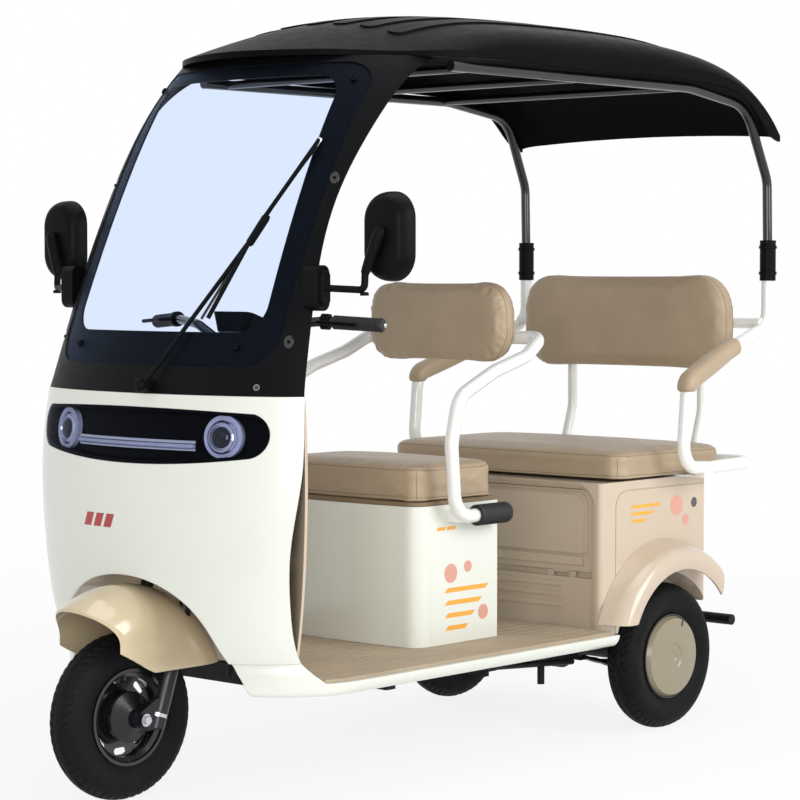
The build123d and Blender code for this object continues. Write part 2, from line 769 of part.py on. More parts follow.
bar_y = steering_y(bar_height)
bar_diameter = 22.0
bar_route = [
    (-368, bar_y + 96, bar_height + 42), (-235, bar_y + 40, bar_height + 50),
    (-120, bar_y - 4, bar_height + 40), (-60, bar_y, bar_height + 6),
    (60, bar_y, bar_height + 6), (120, bar_y - 4, bar_height + 40),
    (235, bar_y + 40, bar_height + 50), (368, bar_y + 96, bar_height + 42),
]

clamp_thickness = 34.0
meter_bottom = bar_height - 14 + (clamp_thickness + fit_gap) * cos(radians(steering_rake))

with BuildPart() as handlebar:
    add_tube(bar_route, 32, bar_diameter)
    with BuildSketch(steering_plane(bar_height - 14)) as clamp:
        RectangleRounded(64, 44, 8)
    extrude(clamp.sketch, amount=clamp_thickness)
    with BuildSketch(steering_plane(bar_height - 60)) as stem_room:
        Circle(stem_diameter / 2 + 0.1)
    extrude(stem_room.sketch, amount=60 + 14, mode=Mode.SUBTRACT)
write(handlebar, "handlebar")

grip_diameter = 32.0


def along(start, end, share):
    return tuple(a + (b - a) * share for a, b in zip(start, end))


with BuildPart() as handlebar_grips:
    for end, inner in ((bar_route[0], bar_route[1]), (bar_route[-1], bar_route[-2])):
        cap = along(end, inner, -0.04)
        add_rod(cap, along(end, inner, 0.80), grip_diameter)
        add_rod(end, along(end, inner, 0.9), bar_diameter + 0.2, mode=Mode.SUBTRACT)
write(handlebar_grips, "handlebar_grips")

with BuildPart() as bar_controls:
    for sign in (-1, 1):
        inner = (sign * 235, bar_y + 40, bar_height + 50)
        outer = (sign * 368, bar_y + 96, bar_height + 42)
        perch = along(inner, outer, 0.06)
        add_rod(along(inner, outer, 0.01), along(inner, outer, 0.14), 36)
        add_rod(along(inner, outer, -0.3), along(inner, outer, 0.4), bar_diameter + 0.8,
                mode=Mode.SUBTRACT)
        add_tube(
            [(perch[0], perch[1] - 16, perch[2]), (perch[0] + sign * 8, perch[1] - 42, perch[2]),
             (perch[0] + sign * 105, perch[1] - 12, perch[2] - 6)], 10, 9,
        )
    with BuildSketch(steering_plane(meter_bottom)) as meter_foot:
        RectangleRounded(96, 50, 12)
    with BuildSketch(steering_plane(meter_bottom + 40)) as meter_face:
        RectangleRounded(130, 74, 16)
    loft([meter_foot.sketch, meter_face.sketch])
write(bar_controls, "bar_controls")

# --- Front seat -----------------------------------------------------------------


def box_outline(inset, height):
    """Seat box plan: rounded corners and a bowed front."""
    half = box_half_width - inset
    front, rear = box_front + inset, box_rear - inset
    with BuildSketch(plan(height), mode=Mode.PRIVATE) as outline:
        with BuildLine():
            front_face = ThreePointArc((-half + 40, front + 10), (0, front), (half - 40, front + 10))
            right = ThreePointArc(front_face @ 1, (half - 9, front + 26), (half, front + 62))
            side_right = Line(right @ 1, (half, rear))
            back = Line(side_right @ 1, (-half, rear))
            side_left = Line(back @ 1, (-half, front + 62))
            ThreePointArc(side_left @ 1, (-half + 9, front + 26), front_face @ 0)
        make_face()
    return outline.sketch


seat_hinge_y = box_rear + 11
seat_hinge_z = box_top - 4
seat_base_bottom = box_top + 0.5
seat_base_top = seat_base_bottom + seat_base_thickness
hinge_pin = 5.0
hinge_barrel = 12.0
seat_hinge_places = (-150, 150)

with BuildPart() as front_seat_box:
    box_floor = floor_height + fit_gap
    extrude(box_outline(0, box_floor), amount=box_top - box_floor)
    extrude(box_outline(box_wall, box_floor + box_wall), amount=box_top - box_floor,
            mode=Mode.SUBTRACT)
    for hinge_x in seat_hinge_places:
        add_rod((hinge_x - 34, seat_hinge_y, seat_hinge_z),
                (hinge_x + 34, seat_hinge_y, seat_hinge_z), hinge_pin)
        for ear in (hinge_x - 34, hinge_x + 16):
            add_rod((ear, seat_hinge_y, seat_hinge_z), (ear + 18, seat_hinge_y, seat_hinge_z),
                    hinge_barrel)
            add_block((ear, ear + 18), (box_rear - 1, seat_hinge_y),
                      (box_top - 44, seat_hinge_z))
write(front_seat_box, "front_seat_box")

with BuildPart() as battery:
    length_x, length_y, height = battery_size
    battery_bottom = floor_height + fit_gap + box_wall + fit_gap
    battery_middle = (box_front + box_rear) / 2
    add_block(
        (-length_x / 2, length_x / 2),
        (battery_middle - length_y / 2, battery_middle + length_y / 2),
        (battery_bottom, battery_bottom + height),
    )
write(battery, "battery")

with BuildPart() as front_seat_base:
    extrude(box_outline(3, seat_base_bottom), amount=seat_base_thickness)
    for hinge_x in seat_hinge_places:
        add_rod((hinge_x - 14, seat_hinge_y, seat_hinge_z), (hinge_x + 14, seat_hinge_y, seat_hinge_z),
                hinge_barrel)
        add_block((hinge_x - 14, hinge_x + 14), (box_rear - 12, seat_hinge_y + 3),
                  (seat_base_bottom, seat_base_top))
        add_rod((hinge_x - 60, seat_hinge_y, seat_hinge_z), (hinge_x + 60, seat_hinge_y, seat_hinge_z),
                hinge_pin + 2 * pin_clearance, mode=Mode.SUBTRACT)
    add_block((-500, 500), (box_rear - 12, box_rear + 2), (box_top - 30, seat_base_bottom),
              mode=Mode.SUBTRACT)
write(front_seat_base, "front_seat_base")

front_cushion_rear = 1002.0
with BuildPart() as front_seat_cushion:
    with BuildSketch(plan(seat_base_top + fit_gap)) as cushion:
        with Locations((0, (box_front + 8 + front_cushion_rear) / 2)):
            RectangleRounded(2 * (box_half_width + 6), front_cushion_rear - box_front - 8, 46)
    extrude(cushion.sketch, amount=front_cushion_top - seat_base_top)
    fillet(front_seat_cushion.faces().sort_by(Axis.Z)[-1].edges(), 16)
write(front_seat_cushion, "front_seat_cushion")


def add_pad(centre, size, radius, thickness, lean):
    """Upright cushion with rounded corners, leaning back by an angle."""
    tilt = radians(lean)
    face = Plane(origin=at(*centre), x_dir=(1, 0, 0), z_dir=(0, -cos(tilt), sin(tilt)))
    with BuildSketch(face, mode=Mode.PRIVATE) as outline:
        RectangleRounded(size[0], size[1], radius)
    extrude(outline.sketch, amount=thickness / 2, both=True)


backrest_thickness = 62.0
front_back_y = 1068.0
front_back_size = (476.0, 226.0)
rear_back_y = wheelbase + 317.0
rear_back_size = (712.0, 280.0)

with BuildPart() as front_backrest:
    add_pad((0, front_back_y, 1038), front_back_size, 100, backrest_thickness, 0)
write(front_backrest, "front_backrest")

handrail_back_y = front_back_y + backrest_thickness / 2 + rail_tube / 2 + 0.6
front_rail_right = [
    (side_grip_x - 4, side_grip_end - 8, side_grip_height), (side_grip_x, 778, side_grip_height),
    (side_grip_x, 764, 760), (side_grip_x, 790, 868), (side_grip_x, 920, 925),
    (side_grip_x, 1040, 958), (side_grip_x - 18, handrail_back_y, 1000),
]
front_rail_bends = [62, 120, 66, 200, 80, 32]


def add_front_rail(diameter, mode=Mode.ADD):
    add_tube(front_rail_right + mirrored(front_rail_right),
             front_rail_bends + front_rail_bends[::-1], diameter, mode=mode)


with BuildPart() as front_handrail:
    add_front_rail(rail_tube)
    for sign in (-1, 1):
        inner, outer = sorted((sign * (box_half_width + fit_gap), sign * (side_grip_x - 4)))
        add_block((inner, outer), (800, 836), (side_grip_height - 14, side_grip_height + 14))
write(front_handrail, "front_handrail")

side_grip_diameter = 51.0
with BuildPart() as side_grips:
    for sign in (-1, 1):
        add_rod((sign * side_grip_x, 852, side_grip_height), (sign * (side_grip_x - 4), side_grip_end,
                side_grip_height), side_grip_diameter)
    add_front_rail(rail_tube + 2 * fit_gap, mode=Mode.SUBTRACT)
write(side_grips, "side_grips")

# --- Rear body, storage door and rear seat ----------------------------------------
wheel_centre_x = track / 2
wheel_well_radius = 214.0
wheel_well_inner = wheel_centre_x - tyre_width / 2 - 16
body_bottom = rail_top + fit_gap
body_corner = 14.0


def add_wheel_well(sign, radius, inner_x, mode=Mode.SUBTRACT):
    start, end = sorted((sign * inner_x, sign * 480))
    with BuildSketch(side(start), mode=Mode.PRIVATE) as well:
        with Locations((wheelbase, axle_height)):
            Circle(radius)
        with Locations((wheelbase, axle_height - 100)):
            Rectangle(2 * radius, 200)
    extrude(well.sketch, amount=end - start, mode=mode)


def body_outline(inset):
    half, front, rear = rear_body_half_width - inset, rear_body_front + inset, rear_body_rear - inset
    with BuildSketch(plan(body_bottom), mode=Mode.PRIVATE) as outline:
        with Locations((0, (front + rear) / 2)):
            RectangleRounded(2 * half, rear - front, body_corner)
    return outline.sketch


def arched_outline(y, half, bottom, top, radius):
    """Upright shape seen from the front: a square foot and rounded top corners."""
    with BuildSketch(across(y), mode=Mode.PRIVATE) as outline:
        with Locations((0, (bottom + top) / 2)):
            RectangleRounded(2 * half, top - bottom, radius)
        with Locations((0, bottom + radius)):
            Rectangle(2 * half, 2 * radius)
    return outline.sketch


with BuildPart() as body_room:
    add_block((-rear_body_half_width + body_wall, rear_body_half_width - body_wall),
              (door_face + 30, rear_body_rear - body_wall),
              (body_bottom + body_wall, rear_body_top - body_wall))
    for sign in (-1, 1):
        add_wheel_well(sign, wheel_well_radius + body_wall, wheel_well_inner - body_wall)

door_hinge_y = door_face - 8
door_hinge_z = door_bottom - 4
door_barrel = 7.0
door_pin = 3.0
door_hinge_places = (-210, 210)
kick_top = door_bottom - 16     # leaves room for the door when it is down
door_corner = 32.0
door_gap = 6.0
# Steps round the door: how far each is inside the last one's opening, and its depth.
door_steps = [(32, 8), (22, 16), (12, 28)]
panel_line = (2.5, 2.0)         # width and depth of the side panel's line
panel_line_front = rear_body_front + 57.0
panel_line_top = 618.0
panel_line_corner = 44.0
port_y = rear_body_rear - 54.0

with BuildPart() as rear_body:
    extrude(body_outline(0), amount=rear_body_top - body_bottom)
    recess = (door_half_width + door_gap, door_top + door_gap / 2)
    for step, depth in door_steps + [(0, door_face + fit_gap - rear_body_front)]:
        outline = arched_outline(rear_body_front - 10, recess[0] + step, body_bottom - 5,
                                 recess[1] + step / 2, door_corner + step)
        extrude(outline, amount=-(depth + 10), mode=Mode.SUBTRACT)
    add(body_room.part, mode=Mode.SUBTRACT)
    for sign in (-1, 1):
        add_wheel_well(sign, wheel_well_radius, wheel_well_inner)
    add_block((-door_half_width + 16, door_half_width - 16), (door_face - 10, door_face + 60),
              (door_bottom + 16, door_top - 14), mode=Mode.SUBTRACT)
    add_block((-rail_x - 30, rail_x + 30), (wheelbase - 55, wheelbase + 55), (body_bottom - 5, body_bottom + 5),
              mode=Mode.SUBTRACT)
    add_block((-recess[0] - 1, recess[0] + 1), (door_face - 20, door_face + 3),
              (body_bottom, kick_top))
    for sign in (-1, 1):
        start, end = sorted((sign * (rear_body_half_width - panel_line[1]),
                             sign * (rear_body_half_width + 1)))
        with BuildSketch(side(start), mode=Mode.PRIVATE) as side_line:
            with Locations((panel_line_front + 300, panel_line_top - 300)):
                RectangleRounded(600, 600, panel_line_corner)
                RectangleRounded(600 - 2 * panel_line[0], 600 - 2 * panel_line[0],
                                 panel_line_corner - panel_line[0], mode=Mode.SUBTRACT)
        extrude(side_line.sketch, amount=end - start, mode=Mode.SUBTRACT)
    add_rod((rear_body_half_width - 3, port_y, 569), (rear_body_half_width + 1, port_y, 569), 26,
            mode=Mode.SUBTRACT)
    for rib in range(3):
        rib_z = floor_height + 40 + rib * 26
        add_block((-door_half_width + 90, door_half_width - 90), (door_face - 24, door_face - 19),
                  (rib_z, rib_z + 12))
    for hinge_x in door_hinge_places:
        add_rod((hinge_x - 40, door_hinge_y, door_hinge_z), (hinge_x + 40, door_hinge_y, door_hinge_z),
                door_pin)
        for ear in (hinge_x - 45, hinge_x + 25.5):
            add_rod((ear, door_hinge_y, door_hinge_z), (ear + 19.5, door_hinge_y, door_hinge_z),
                    door_barrel)
            add_block((ear, ear + 19.5),
                      (door_hinge_y - door_barrel / 2, door_hinge_y + door_barrel / 2),
                      (kick_top - 1, door_hinge_z))
write(rear_body, "rear_body")

with BuildPart() as storage_door:
    extrude(arched_outline(door_face, door_half_width, door_bottom, door_top, door_corner),
            amount=door_thickness)
    for margin, rise in ((14, 4), (24, 7)):
        outline = arched_outline(door_face - door_thickness + 1, door_half_width - margin,
                                 door_bottom + 46, door_top - margin / 2, door_corner)
        extrude(outline, amount=rise + 1)
    add_block((-door_half_width + 10, door_half_width - 28),
              (door_face - door_thickness - 7, door_face - door_thickness + 1),
              (door_bottom + 16, door_bottom + 38))
    for hinge_x in door_hinge_places:
        add_rod((hinge_x - 25, door_hinge_y, door_hinge_z), (hinge_x + 25, door_hinge_y, door_hinge_z),
                door_barrel)
        add_block((hinge_x - 25, hinge_x + 25),
                  (door_hinge_y - door_barrel / 2, door_hinge_y + door_barrel / 2),
                  (door_hinge_z, door_bottom + 1))
        add_rod((hinge_x - 25, door_hinge_y, door_hinge_z), (hinge_x + 25, door_hinge_y, door_hinge_z),
                door_pin + 2 * pin_clearance, mode=Mode.SUBTRACT)
write(storage_door, "storage_door")

fender_rise = 285.0
fender_lip = 212.0
rear_fender_y = wheelbase - 13      # the arch is centred ahead of and above the axle
rear_fender_z = axle_height + 15
fender_reach = 438.0


def rear_fender_outline(sign, inset):
    """Section of the rear fender: x outward, y the distance from the wheel axle."""
    plane = Plane(origin=at(0, rear_fender_y, rear_fender_z), x_dir=(sign, 0, 0),
                  z_dir=(0, -sign, 0))
    start = rear_body_half_width + fit_gap
    with BuildSketch(plane, mode=Mode.PRIVATE) as outline:
        with BuildLine():
            Spline((start, fender_rise - inset), (start + 34, fender_rise - 10 - inset),
                   (fender_reach - 6 - inset, 262), (fender_reach - inset, fender_lip))
            Polyline((fender_reach - inset, fender_lip), (start, fender_lip),
                     (start, fender_rise - inset))
        make_face()
    return outline.sketch


rear_axis = Axis(at(0, rear_fender_y, rear_fender_z), (1, 0, 0))
with BuildPart() as rear_fenders:
    for sign in (-1, 1):
        revolve(rear_fender_outline(sign, 0), axis=rear_axis)
    for sign in (-1, 1):
        revolve(rear_fender_outline(sign, 6), axis=rear_axis, mode=Mode.SUBTRACT)
    add_block((-500, 500), (wheelbase - 515, wheelbase + 485), (-200, 292), mode=Mode.SUBTRACT)
    add_block((-500, 500), (rear_body_rear - 22, wheelbase + 485), (-200, 700), mode=Mode.SUBTRACT)
write(rear_fenders, "rear_fenders")

cushion_front = wheelbase - 233.0
cushion_rear = wheelbase + 253.0
with BuildPart() as rear_seat_cushion:
    with BuildSketch(plan(rear_cushion_bottom)) as cushion:
        with Locations((0, (cushion_front + cushion_rear) / 2)):
            RectangleRounded(2 * rear_cushion_half_width, cushion_rear - cushion_front, 60)
    extrude(cushion.sketch, amount=rear_cushion_top - rear_cushion_bottom)
    fillet(rear_seat_cushion.faces().sort_by(Axis.Z)[-1].edges(), 18)
write(rear_seat_cushion, "rear_seat_cushion")

with BuildPart() as rear_backrest:
    add_pad((0, rear_back_y, 1028), rear_back_size, 118, backrest_thickness, 0)
write(rear_backrest, "rear_backrest")

rear_cross_tube = 28.0
rear_cross_y = rear_back_y + backrest_thickness / 2 + rear_cross_tube / 2 + fit_gap
arm_front = wheelbase - 25.0
arm_rear = wheelbase + 175.0
seat_post_y = wheelbase + 323.0
rear_rail_route = [
    (post_x, post_y, sleeve_bottom + 30), (post_x, post_y, 1020), (post_x + 14, arm_rear, 955),
    (arm_x, arm_front, 885), (arm_x, arm_front - 20, 672), (arm_x - 10, wheelbase + 85, 664),
    (post_x, seat_post_y, 664),
]
rear_rail_bends = [60, 90, 60, 60, 70, 60]


def add_rear_rail(diameter, mode=Mode.ADD):
    add_tube(rear_rail_route + mirrored(rear_rail_route),
             rear_rail_bends + rear_rail_bends[::-1], diameter, mode=mode)


with BuildPart() as rear_handrail:
    add_rear_rail(rail_tube)
    add_rod((-post_x, rear_cross_y, 1026), (post_x, rear_cross_y, 1026), rear_cross_tube)
    for post in (-220, 220):
        add_tube([(post, seat_post_y, 664), (post, rear_cross_y + 2, 790), (post, rear_cross_y, 1026)],
                 90, 26)
    for sign in (-1, 1):
        inner, outer = sorted((sign * (rear_body_half_width - 40), sign * (arm_x + 4)))
        add_block((inner, outer), (wheelbase + 45, wheelbase + 85),
                  (rear_body_top + fit_gap, rear_cushion_bottom - fit_gap))
        inner, outer = sorted((sign * (arm_x - 24), sign * (arm_x + 4)))
        add_block((inner, outer), (wheelbase + 45, wheelbase + 85), (rear_body_top + fit_gap, 658))
write(rear_handrail, "rear_handrail")

arm_pad_width = 54.0
with BuildPart() as armrests:
    for sign in (-1, 1):
        add_tube([(sign * (post_x + 11), arm_rear + 52, 972), (sign * (post_x + 14), arm_rear, 955),
                  (sign * arm_x, arm_front, 885), (sign * arm_x, arm_front - 2, 858)], [90, 26],
                 arm_pad_width)
    add_rear_rail(rail_tube + 2 * fit_gap, mode=Mode.SUBTRACT)
write(armrests, "armrests")

# --- Canopy tubes -------------------------------------------------------------------
roof_tube_x = 404.0
with BuildPart() as canopy_tubes:
    for sign in (-1, 1):
        add_tube([(sign * post_x, post_y, sleeve_bottom + 34), (sign * post_x, post_y - 6, 1400),
                  (sign * roof_tube_x, post_y - 96, 1590),
                  (sign * roof_tube_x, post_y - 346, 1625),
                  (sign * roof_tube_x, 640, 1625)],
                 [90, 110, 300], roof_tube)
    for cross_y in (720, 1130, wheelbase + 25):
        add_rod((-roof_tube_x, cross_y, 1625), (roof_tube_x, cross_y, 1625), 20)
write(canopy_tubes, "canopy_tubes")

sleeve_diameter = 42.0
with BuildPart() as post_sleeves:
    for sign in (-1, 1):
        add_rod((sign * post_x, post_y, sleeve_bottom), (sign * post_x, post_y, sleeve_top),
                sleeve_diameter)
        for band in (sleeve_bottom + 16, sleeve_top - 22):
            add_rod((sign * post_x, post_y, band), (sign * post_x, post_y, band + 8),
                    sleeve_diameter + 5)
        add_rod((sign * post_x, post_y, sleeve_bottom - 5), (sign * post_x, post_y, sleeve_bottom + 32),
                rail_tube + 0.6, mode=Mode.SUBTRACT)
        add_rod((sign * post_x, post_y, sleeve_bottom + 30), (sign * post_x, post_y - 1, sleeve_top + 5),
                roof_tube + 2.4, mode=Mode.SUBTRACT)
write(post_sleeves, "post_sleeves")

# --- Rear axle, springs and wheels -----------------------------------------------------
axle_tube = 50.0
hub_inner = wheel_centre_x - tyre_width / 2 - 12

with BuildPart() as rear_axle:
    add_rod((-hub_inner, wheelbase, axle_height), (hub_inner, wheelbase, axle_height), axle_tube)
    add_rod((-70, wheelbase, axle_height), (40, wheelbase, axle_height), 130)
    for sign in (-1, 1):
        add_rod((sign * (hub_inner - 5), wheelbase, axle_height),
                (sign * (wheel_centre_x + 24), wheelbase, axle_height), 22)
        add_rod((sign * (hub_inner - 6), wheelbase, axle_height),
                (sign * (hub_inner + 4), wheelbase, axle_height), 120)
        start, end = sorted((sign * (spring_x - 20), sign * (spring_x + 20)))
        for leaf in range(3):
            reach, top = spring_reach - leaf * 55, 178 - leaf * 8
            lift = reach * 0.11
            with BuildSketch(side(start), mode=Mode.PRIVATE) as leaf_side:
                with BuildLine():
                    upper = ThreePointArc((wheelbase - reach, top + lift), (wheelbase, top - 12),
                                          (wheelbase + reach, top + lift))
                    rear_end = Line(upper @ 1, (wheelbase + reach, top + lift - 8))
                    lower = ThreePointArc(rear_end @ 1, (wheelbase, top - 20),
                                          (wheelbase - reach, top + lift - 8))
                    Line(lower @ 1, upper @ 0)
                make_face()
            extrude(leaf_side.sketch, amount=end - start)
        add_block((start - 3, end + 3), (wheelbase - 26, wheelbase + 26), (138, 166))
        for eye_y in (wheelbase - spring_reach, wheelbase + spring_reach):
            add_block((start, end), (eye_y - 11, eye_y + 11), (186, rail_top - 30 - fit_gap))
write(rear_axle, "rear_axle")

with BuildPart() as drive_motor:
    add_rod((-70.3, wheelbase, axle_height), (-172, wheelbase, axle_height), 120)
    add_rod((-60, wheelbase, axle_height), (-200, wheelbase, axle_height), axle_tube + 0.6,
            mode=Mode.SUBTRACT)
write(drive_motor, "drive_motor")

cap_radius = rim_radius - 4.4
for sign, side_name in ((1, "left"), (-1, "right")):
    centre_x = sign * wheel_centre_x
    with BuildPart() as rear_tyre:
        add_tyre(centre_x, wheelbase)
    write(rear_tyre, f"rear_tyre_{side_name}")

    with BuildPart() as rear_wheel:
        outline = [
            (-34, rim_radius), (-34, rim_radius - 3), (-28, rim_radius - 5),
            (-24, rim_radius - 14), (6, rim_radius - 14), (6, 30), (-26, 30),
            (-26, 11.3), (30, 11.3), (30, 26), (14, 30), (14, rim_radius - 14),
            (26, rim_radius - 12), (28, rim_radius - 5), (34, rim_radius - 3),
            (34, rim_radius), (30, rim_radius), (24, rim_radius - 9),
            (-24, rim_radius - 9), (-30, rim_radius),
        ]
        add_turned(centre_x, wheelbase, [(sign * x, radius) for x, radius in outline])
    write(rear_wheel, f"rear_rim_{side_name}")

    with BuildPart() as hubcap:
        outline = [
            (35, cap_radius), (45, cap_radius - 5.6), (48, 60), (48, 34), (45, 30), (45, 14),
            (43, 11), (43, 0), (40, 0), (40, 34), (44, 60), (41, cap_radius - 8.6),
            (35, cap_radius - 4.6), (31, cap_radius - 2.6), (31, cap_radius),
        ]
        add_turned(centre_x, wheelbase, [(sign * x, radius) for x, radius in outline])
        start, end = sorted((centre_x + sign * 25, centre_x + sign * 60))
        with BuildSketch(side(start), mode=Mode.PRIVATE) as valve_notch:
            with Locations((wheelbase, axle_height)):
                with PolarLocations(cap_radius - 11.6, 1, start_angle=66):
                    SlotOverall(22, 8)
        extrude(valve_notch.sketch, amount=end - start, mode=Mode.SUBTRACT)
    write(hubcap, f"hubcap_{side_name}")

with BuildPart() as tail_lamps:
    for sign in (-1, 1):
        start, end = sorted((sign * 250, sign * 345))
        add_block((start, end), (rear_body_rear + fit_gap, rear_body_rear + 22), (500, 560))
    fillet(tail_lamps.edges().filter_by(Axis.Y), 12)
write(tail_lamps, "tail_lamps")

# --- Mirrors and wiper -------------------------------------------------------------------
mirror_x = 528.0
mirror_y = 292.0
mirror_height = 1236.0
mirror_foot = (412.0, 212.0, 1126.0)
mirror_foot_start = 376.0
mirror_elbow = (502.0, 250.0, 1122.0)
with BuildPart() as mirrors:
    for sign in (-1, 1):
        with BuildSketch(
            Plane(origin=at(sign * mirror_x, mirror_y + 22, mirror_height), x_dir=(1, 0, 0),
                  z_dir=(0, -1, 0))
        ) as head:
            RectangleRounded(126, 192, 58)
        extrude(head.sketch, amount=44, taper=12)
        for foot_size, foot_corner, reach in (((44, 98), 18, 418), ((28, 76), 13, 428)):
            inner, outer = sorted((sign * mirror_foot_start, sign * reach))
            with BuildSketch(side(inner)) as foot:
                with Locations((mirror_foot[1], mirror_foot[2])):
                    RectangleRounded(*foot_size, foot_corner)
            extrude(foot.sketch, amount=outer - inner)
        elbow = (sign * mirror_elbow[0], mirror_elbow[1], mirror_elbow[2])
        knuckle = (sign * 536, 262, 1245)
        add_tube([(sign * mirror_foot[0], mirror_foot[1], mirror_foot[2]), elbow,
                  (elbow[0], elbow[1] + 3, elbow[2] + 50)], 12, 15)
        add_rod((elbow[0], elbow[1] + 2, elbow[2] + 36), knuckle, 24)
        with Locations(at(*knuckle)):
            Sphere(13)
    add_nose(frame_stations, -0.3, mode=Mode.SUBTRACT)
write(mirrors, "mirrors")

wiper_pivot_x = 50.0
wiper_pivot_z = 914.0
with BuildPart() as wiper:
    add_rod((wiper_pivot_x, 60, wiper_pivot_z), (wiper_pivot_x, 16, wiper_pivot_z), 26)
    add_nose(frame_stations, -0.3, mode=Mode.SUBTRACT)
    add_rod((wiper_pivot_x, 26, wiper_pivot_z), (236, 196, 1252), 10)
    add_tube([(172, 106, 1060), (240, 188, 1255), (306, 316, 1450)], 200, 10)
write(wiper, "wiper")
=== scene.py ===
"""Looks of the three-wheeled electric tricycle: finishes, seats, tyres, fittings, light, camera."""

import json
import math

import bmesh
import bpy
from mathutils import Matrix, Vector
from mathutils.bvhtree import BVHTree
from mathutils.kdtree import KDTree

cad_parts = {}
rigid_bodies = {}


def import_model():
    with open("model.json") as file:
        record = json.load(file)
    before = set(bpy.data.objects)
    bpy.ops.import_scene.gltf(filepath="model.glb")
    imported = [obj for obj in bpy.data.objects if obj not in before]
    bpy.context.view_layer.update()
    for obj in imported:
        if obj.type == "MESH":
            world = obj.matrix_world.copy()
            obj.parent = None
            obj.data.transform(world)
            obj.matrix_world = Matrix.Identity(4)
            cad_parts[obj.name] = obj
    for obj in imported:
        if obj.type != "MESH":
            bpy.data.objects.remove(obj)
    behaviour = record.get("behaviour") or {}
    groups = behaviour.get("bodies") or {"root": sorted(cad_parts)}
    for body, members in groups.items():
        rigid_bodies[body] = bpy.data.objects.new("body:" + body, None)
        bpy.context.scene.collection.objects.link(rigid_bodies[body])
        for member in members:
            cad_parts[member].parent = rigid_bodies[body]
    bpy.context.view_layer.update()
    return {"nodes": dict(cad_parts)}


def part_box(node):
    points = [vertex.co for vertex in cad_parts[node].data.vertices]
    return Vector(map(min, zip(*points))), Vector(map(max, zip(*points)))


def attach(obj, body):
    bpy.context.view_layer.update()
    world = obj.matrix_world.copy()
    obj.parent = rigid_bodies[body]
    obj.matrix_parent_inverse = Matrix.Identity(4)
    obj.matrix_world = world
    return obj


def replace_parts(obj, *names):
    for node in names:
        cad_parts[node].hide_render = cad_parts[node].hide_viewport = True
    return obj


for leftover in list(bpy.data.objects):
    bpy.data.objects.remove(leftover)
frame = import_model()
nodes = frame["nodes"]
scene = bpy.context.scene


# --- Finishes -----------------------------------
def colour(code, share=1.0):
    """Linear colour from a written sRGB code, darkened or lightened by share."""
    values = [int(code[i:i + 2], 16) / 255 for i in (1, 3, 5)]
    values = [v / 12.92 if v <= 0.04045 else ((v + 0.055) / 1.055) ** 2.4 for v in values]
    return [min(1.0, v * share) for v in values] + [1.0]


def add_node(tree, kind, inputs=None, **settings):
    node = tree.nodes.new(kind)
    for key, value in settings.items():
        setattr(node, key, value)
    for key, value in (inputs or {}).items():
        node.inputs[key].default_value = value
    return node


def spread(tree, source, low, high):
    """Noise centred on one half, stretched to run from low to high."""
    node = add_node(tree, "ShaderNodeMapRange",
                    {"From Min": 0.3, "From Max": 0.7, "To Min": low, "To Max": high})
    tree.links.new(source, node.inputs["Value"])
    return node.outputs["Result"]


def cloud(tree, place, scale, detail=3.0):
    node = add_node(tree, "ShaderNodeTexNoise", {"Scale": scale, "Detail": detail})
    tree.links.new(place, node.inputs["Vector"])
    return node.outputs["Fac"]


def cells(tree, place, scale, feature="F1"):
    node = add_node(tree, "ShaderNodeTexVoronoi", {"Scale": scale}, feature=feature)
    tree.links.new(place, node.inputs["Vector"])
    return node.outputs["Distance"]


def grain_height(tree, place, grain):
    """Surface relief: leather pores, moulded stipple, orange peel, cast skin or brush marks."""
    if grain == "leather":
        pores = cells(tree, place, 520.0, "DISTANCE_TO_EDGE")
        folds = cloud(tree, place, 160.0, 5.0)
        mix = add_node(tree, "ShaderNodeMath", operation="ADD")
        tree.links.new(pores, mix.inputs[0])
        tree.links.new(folds, mix.inputs[1])
        return mix.outputs[0]
    if grain == "stipple":
        return cells(tree, place, 900.0)
    if grain == "cast":
        return cloud(tree, place, 420.0, 6.0)
    if grain == "rubber":
        return cloud(tree, place, 240.0, 8.0)
    return cloud(tree, place, 210.0, 1.0)


def finish(name, code, rough, grain="peel", relief=0.00002, tone=0.05, patch=5.0, rough_by=0.04,
           metal=0.0, coat=0.0, sheen=0.0, level=0.5, edge=0.0):
    """A surface with its own drift of colour and gloss, and its own relief."""
    material = bpy.data.materials.new(name)
    material.use_nodes = True
    tree = material.node_tree
    shader = tree.nodes["Principled BSDF"]
    place = add_node(tree, "ShaderNodeTexCoord").outputs["Object"]
    shade = add_node(tree, "ShaderNodeMix", data_type="RGBA")
    shade.inputs["A"].default_value = colour(code, 1 - tone)
    shade.inputs["B"].default_value = colour(code, 1 + tone)
    tree.links.new(spread(tree, cloud(tree, place, patch), 0.0, 1.0), shade.inputs["Factor"])
    tree.links.new(shade.outputs["Result"], shader.inputs["Base Color"])
    tree.links.new(spread(tree, cloud(tree, place, patch * 7), rough - rough_by, rough + rough_by),
                   shader.inputs["Roughness"])
    bump = add_node(tree, "ShaderNodeBump", {"Strength": 1.0, "Distance": relief})
    tree.links.new(grain_height(tree, place, grain), bump.inputs["Height"])
    if edge:
        soft_edge = add_node(tree, "ShaderNodeBevel", {"Radius": edge}, samples=4)
        tree.links.new(soft_edge.outputs["Normal"], bump.inputs["Normal"])
    tree.links.new(bump.outputs["Normal"], shader.inputs["Normal"])
    shader.inputs["Metallic"].default_value = metal
    shader.inputs["Coat Weight"].default_value = coat
    shader.inputs["Coat Roughness"].default_value = 0.04
    shader.inputs["Sheen Weight"].default_value = sheen
    shader.inputs["Specular IOR Level"].default_value = level
    return material


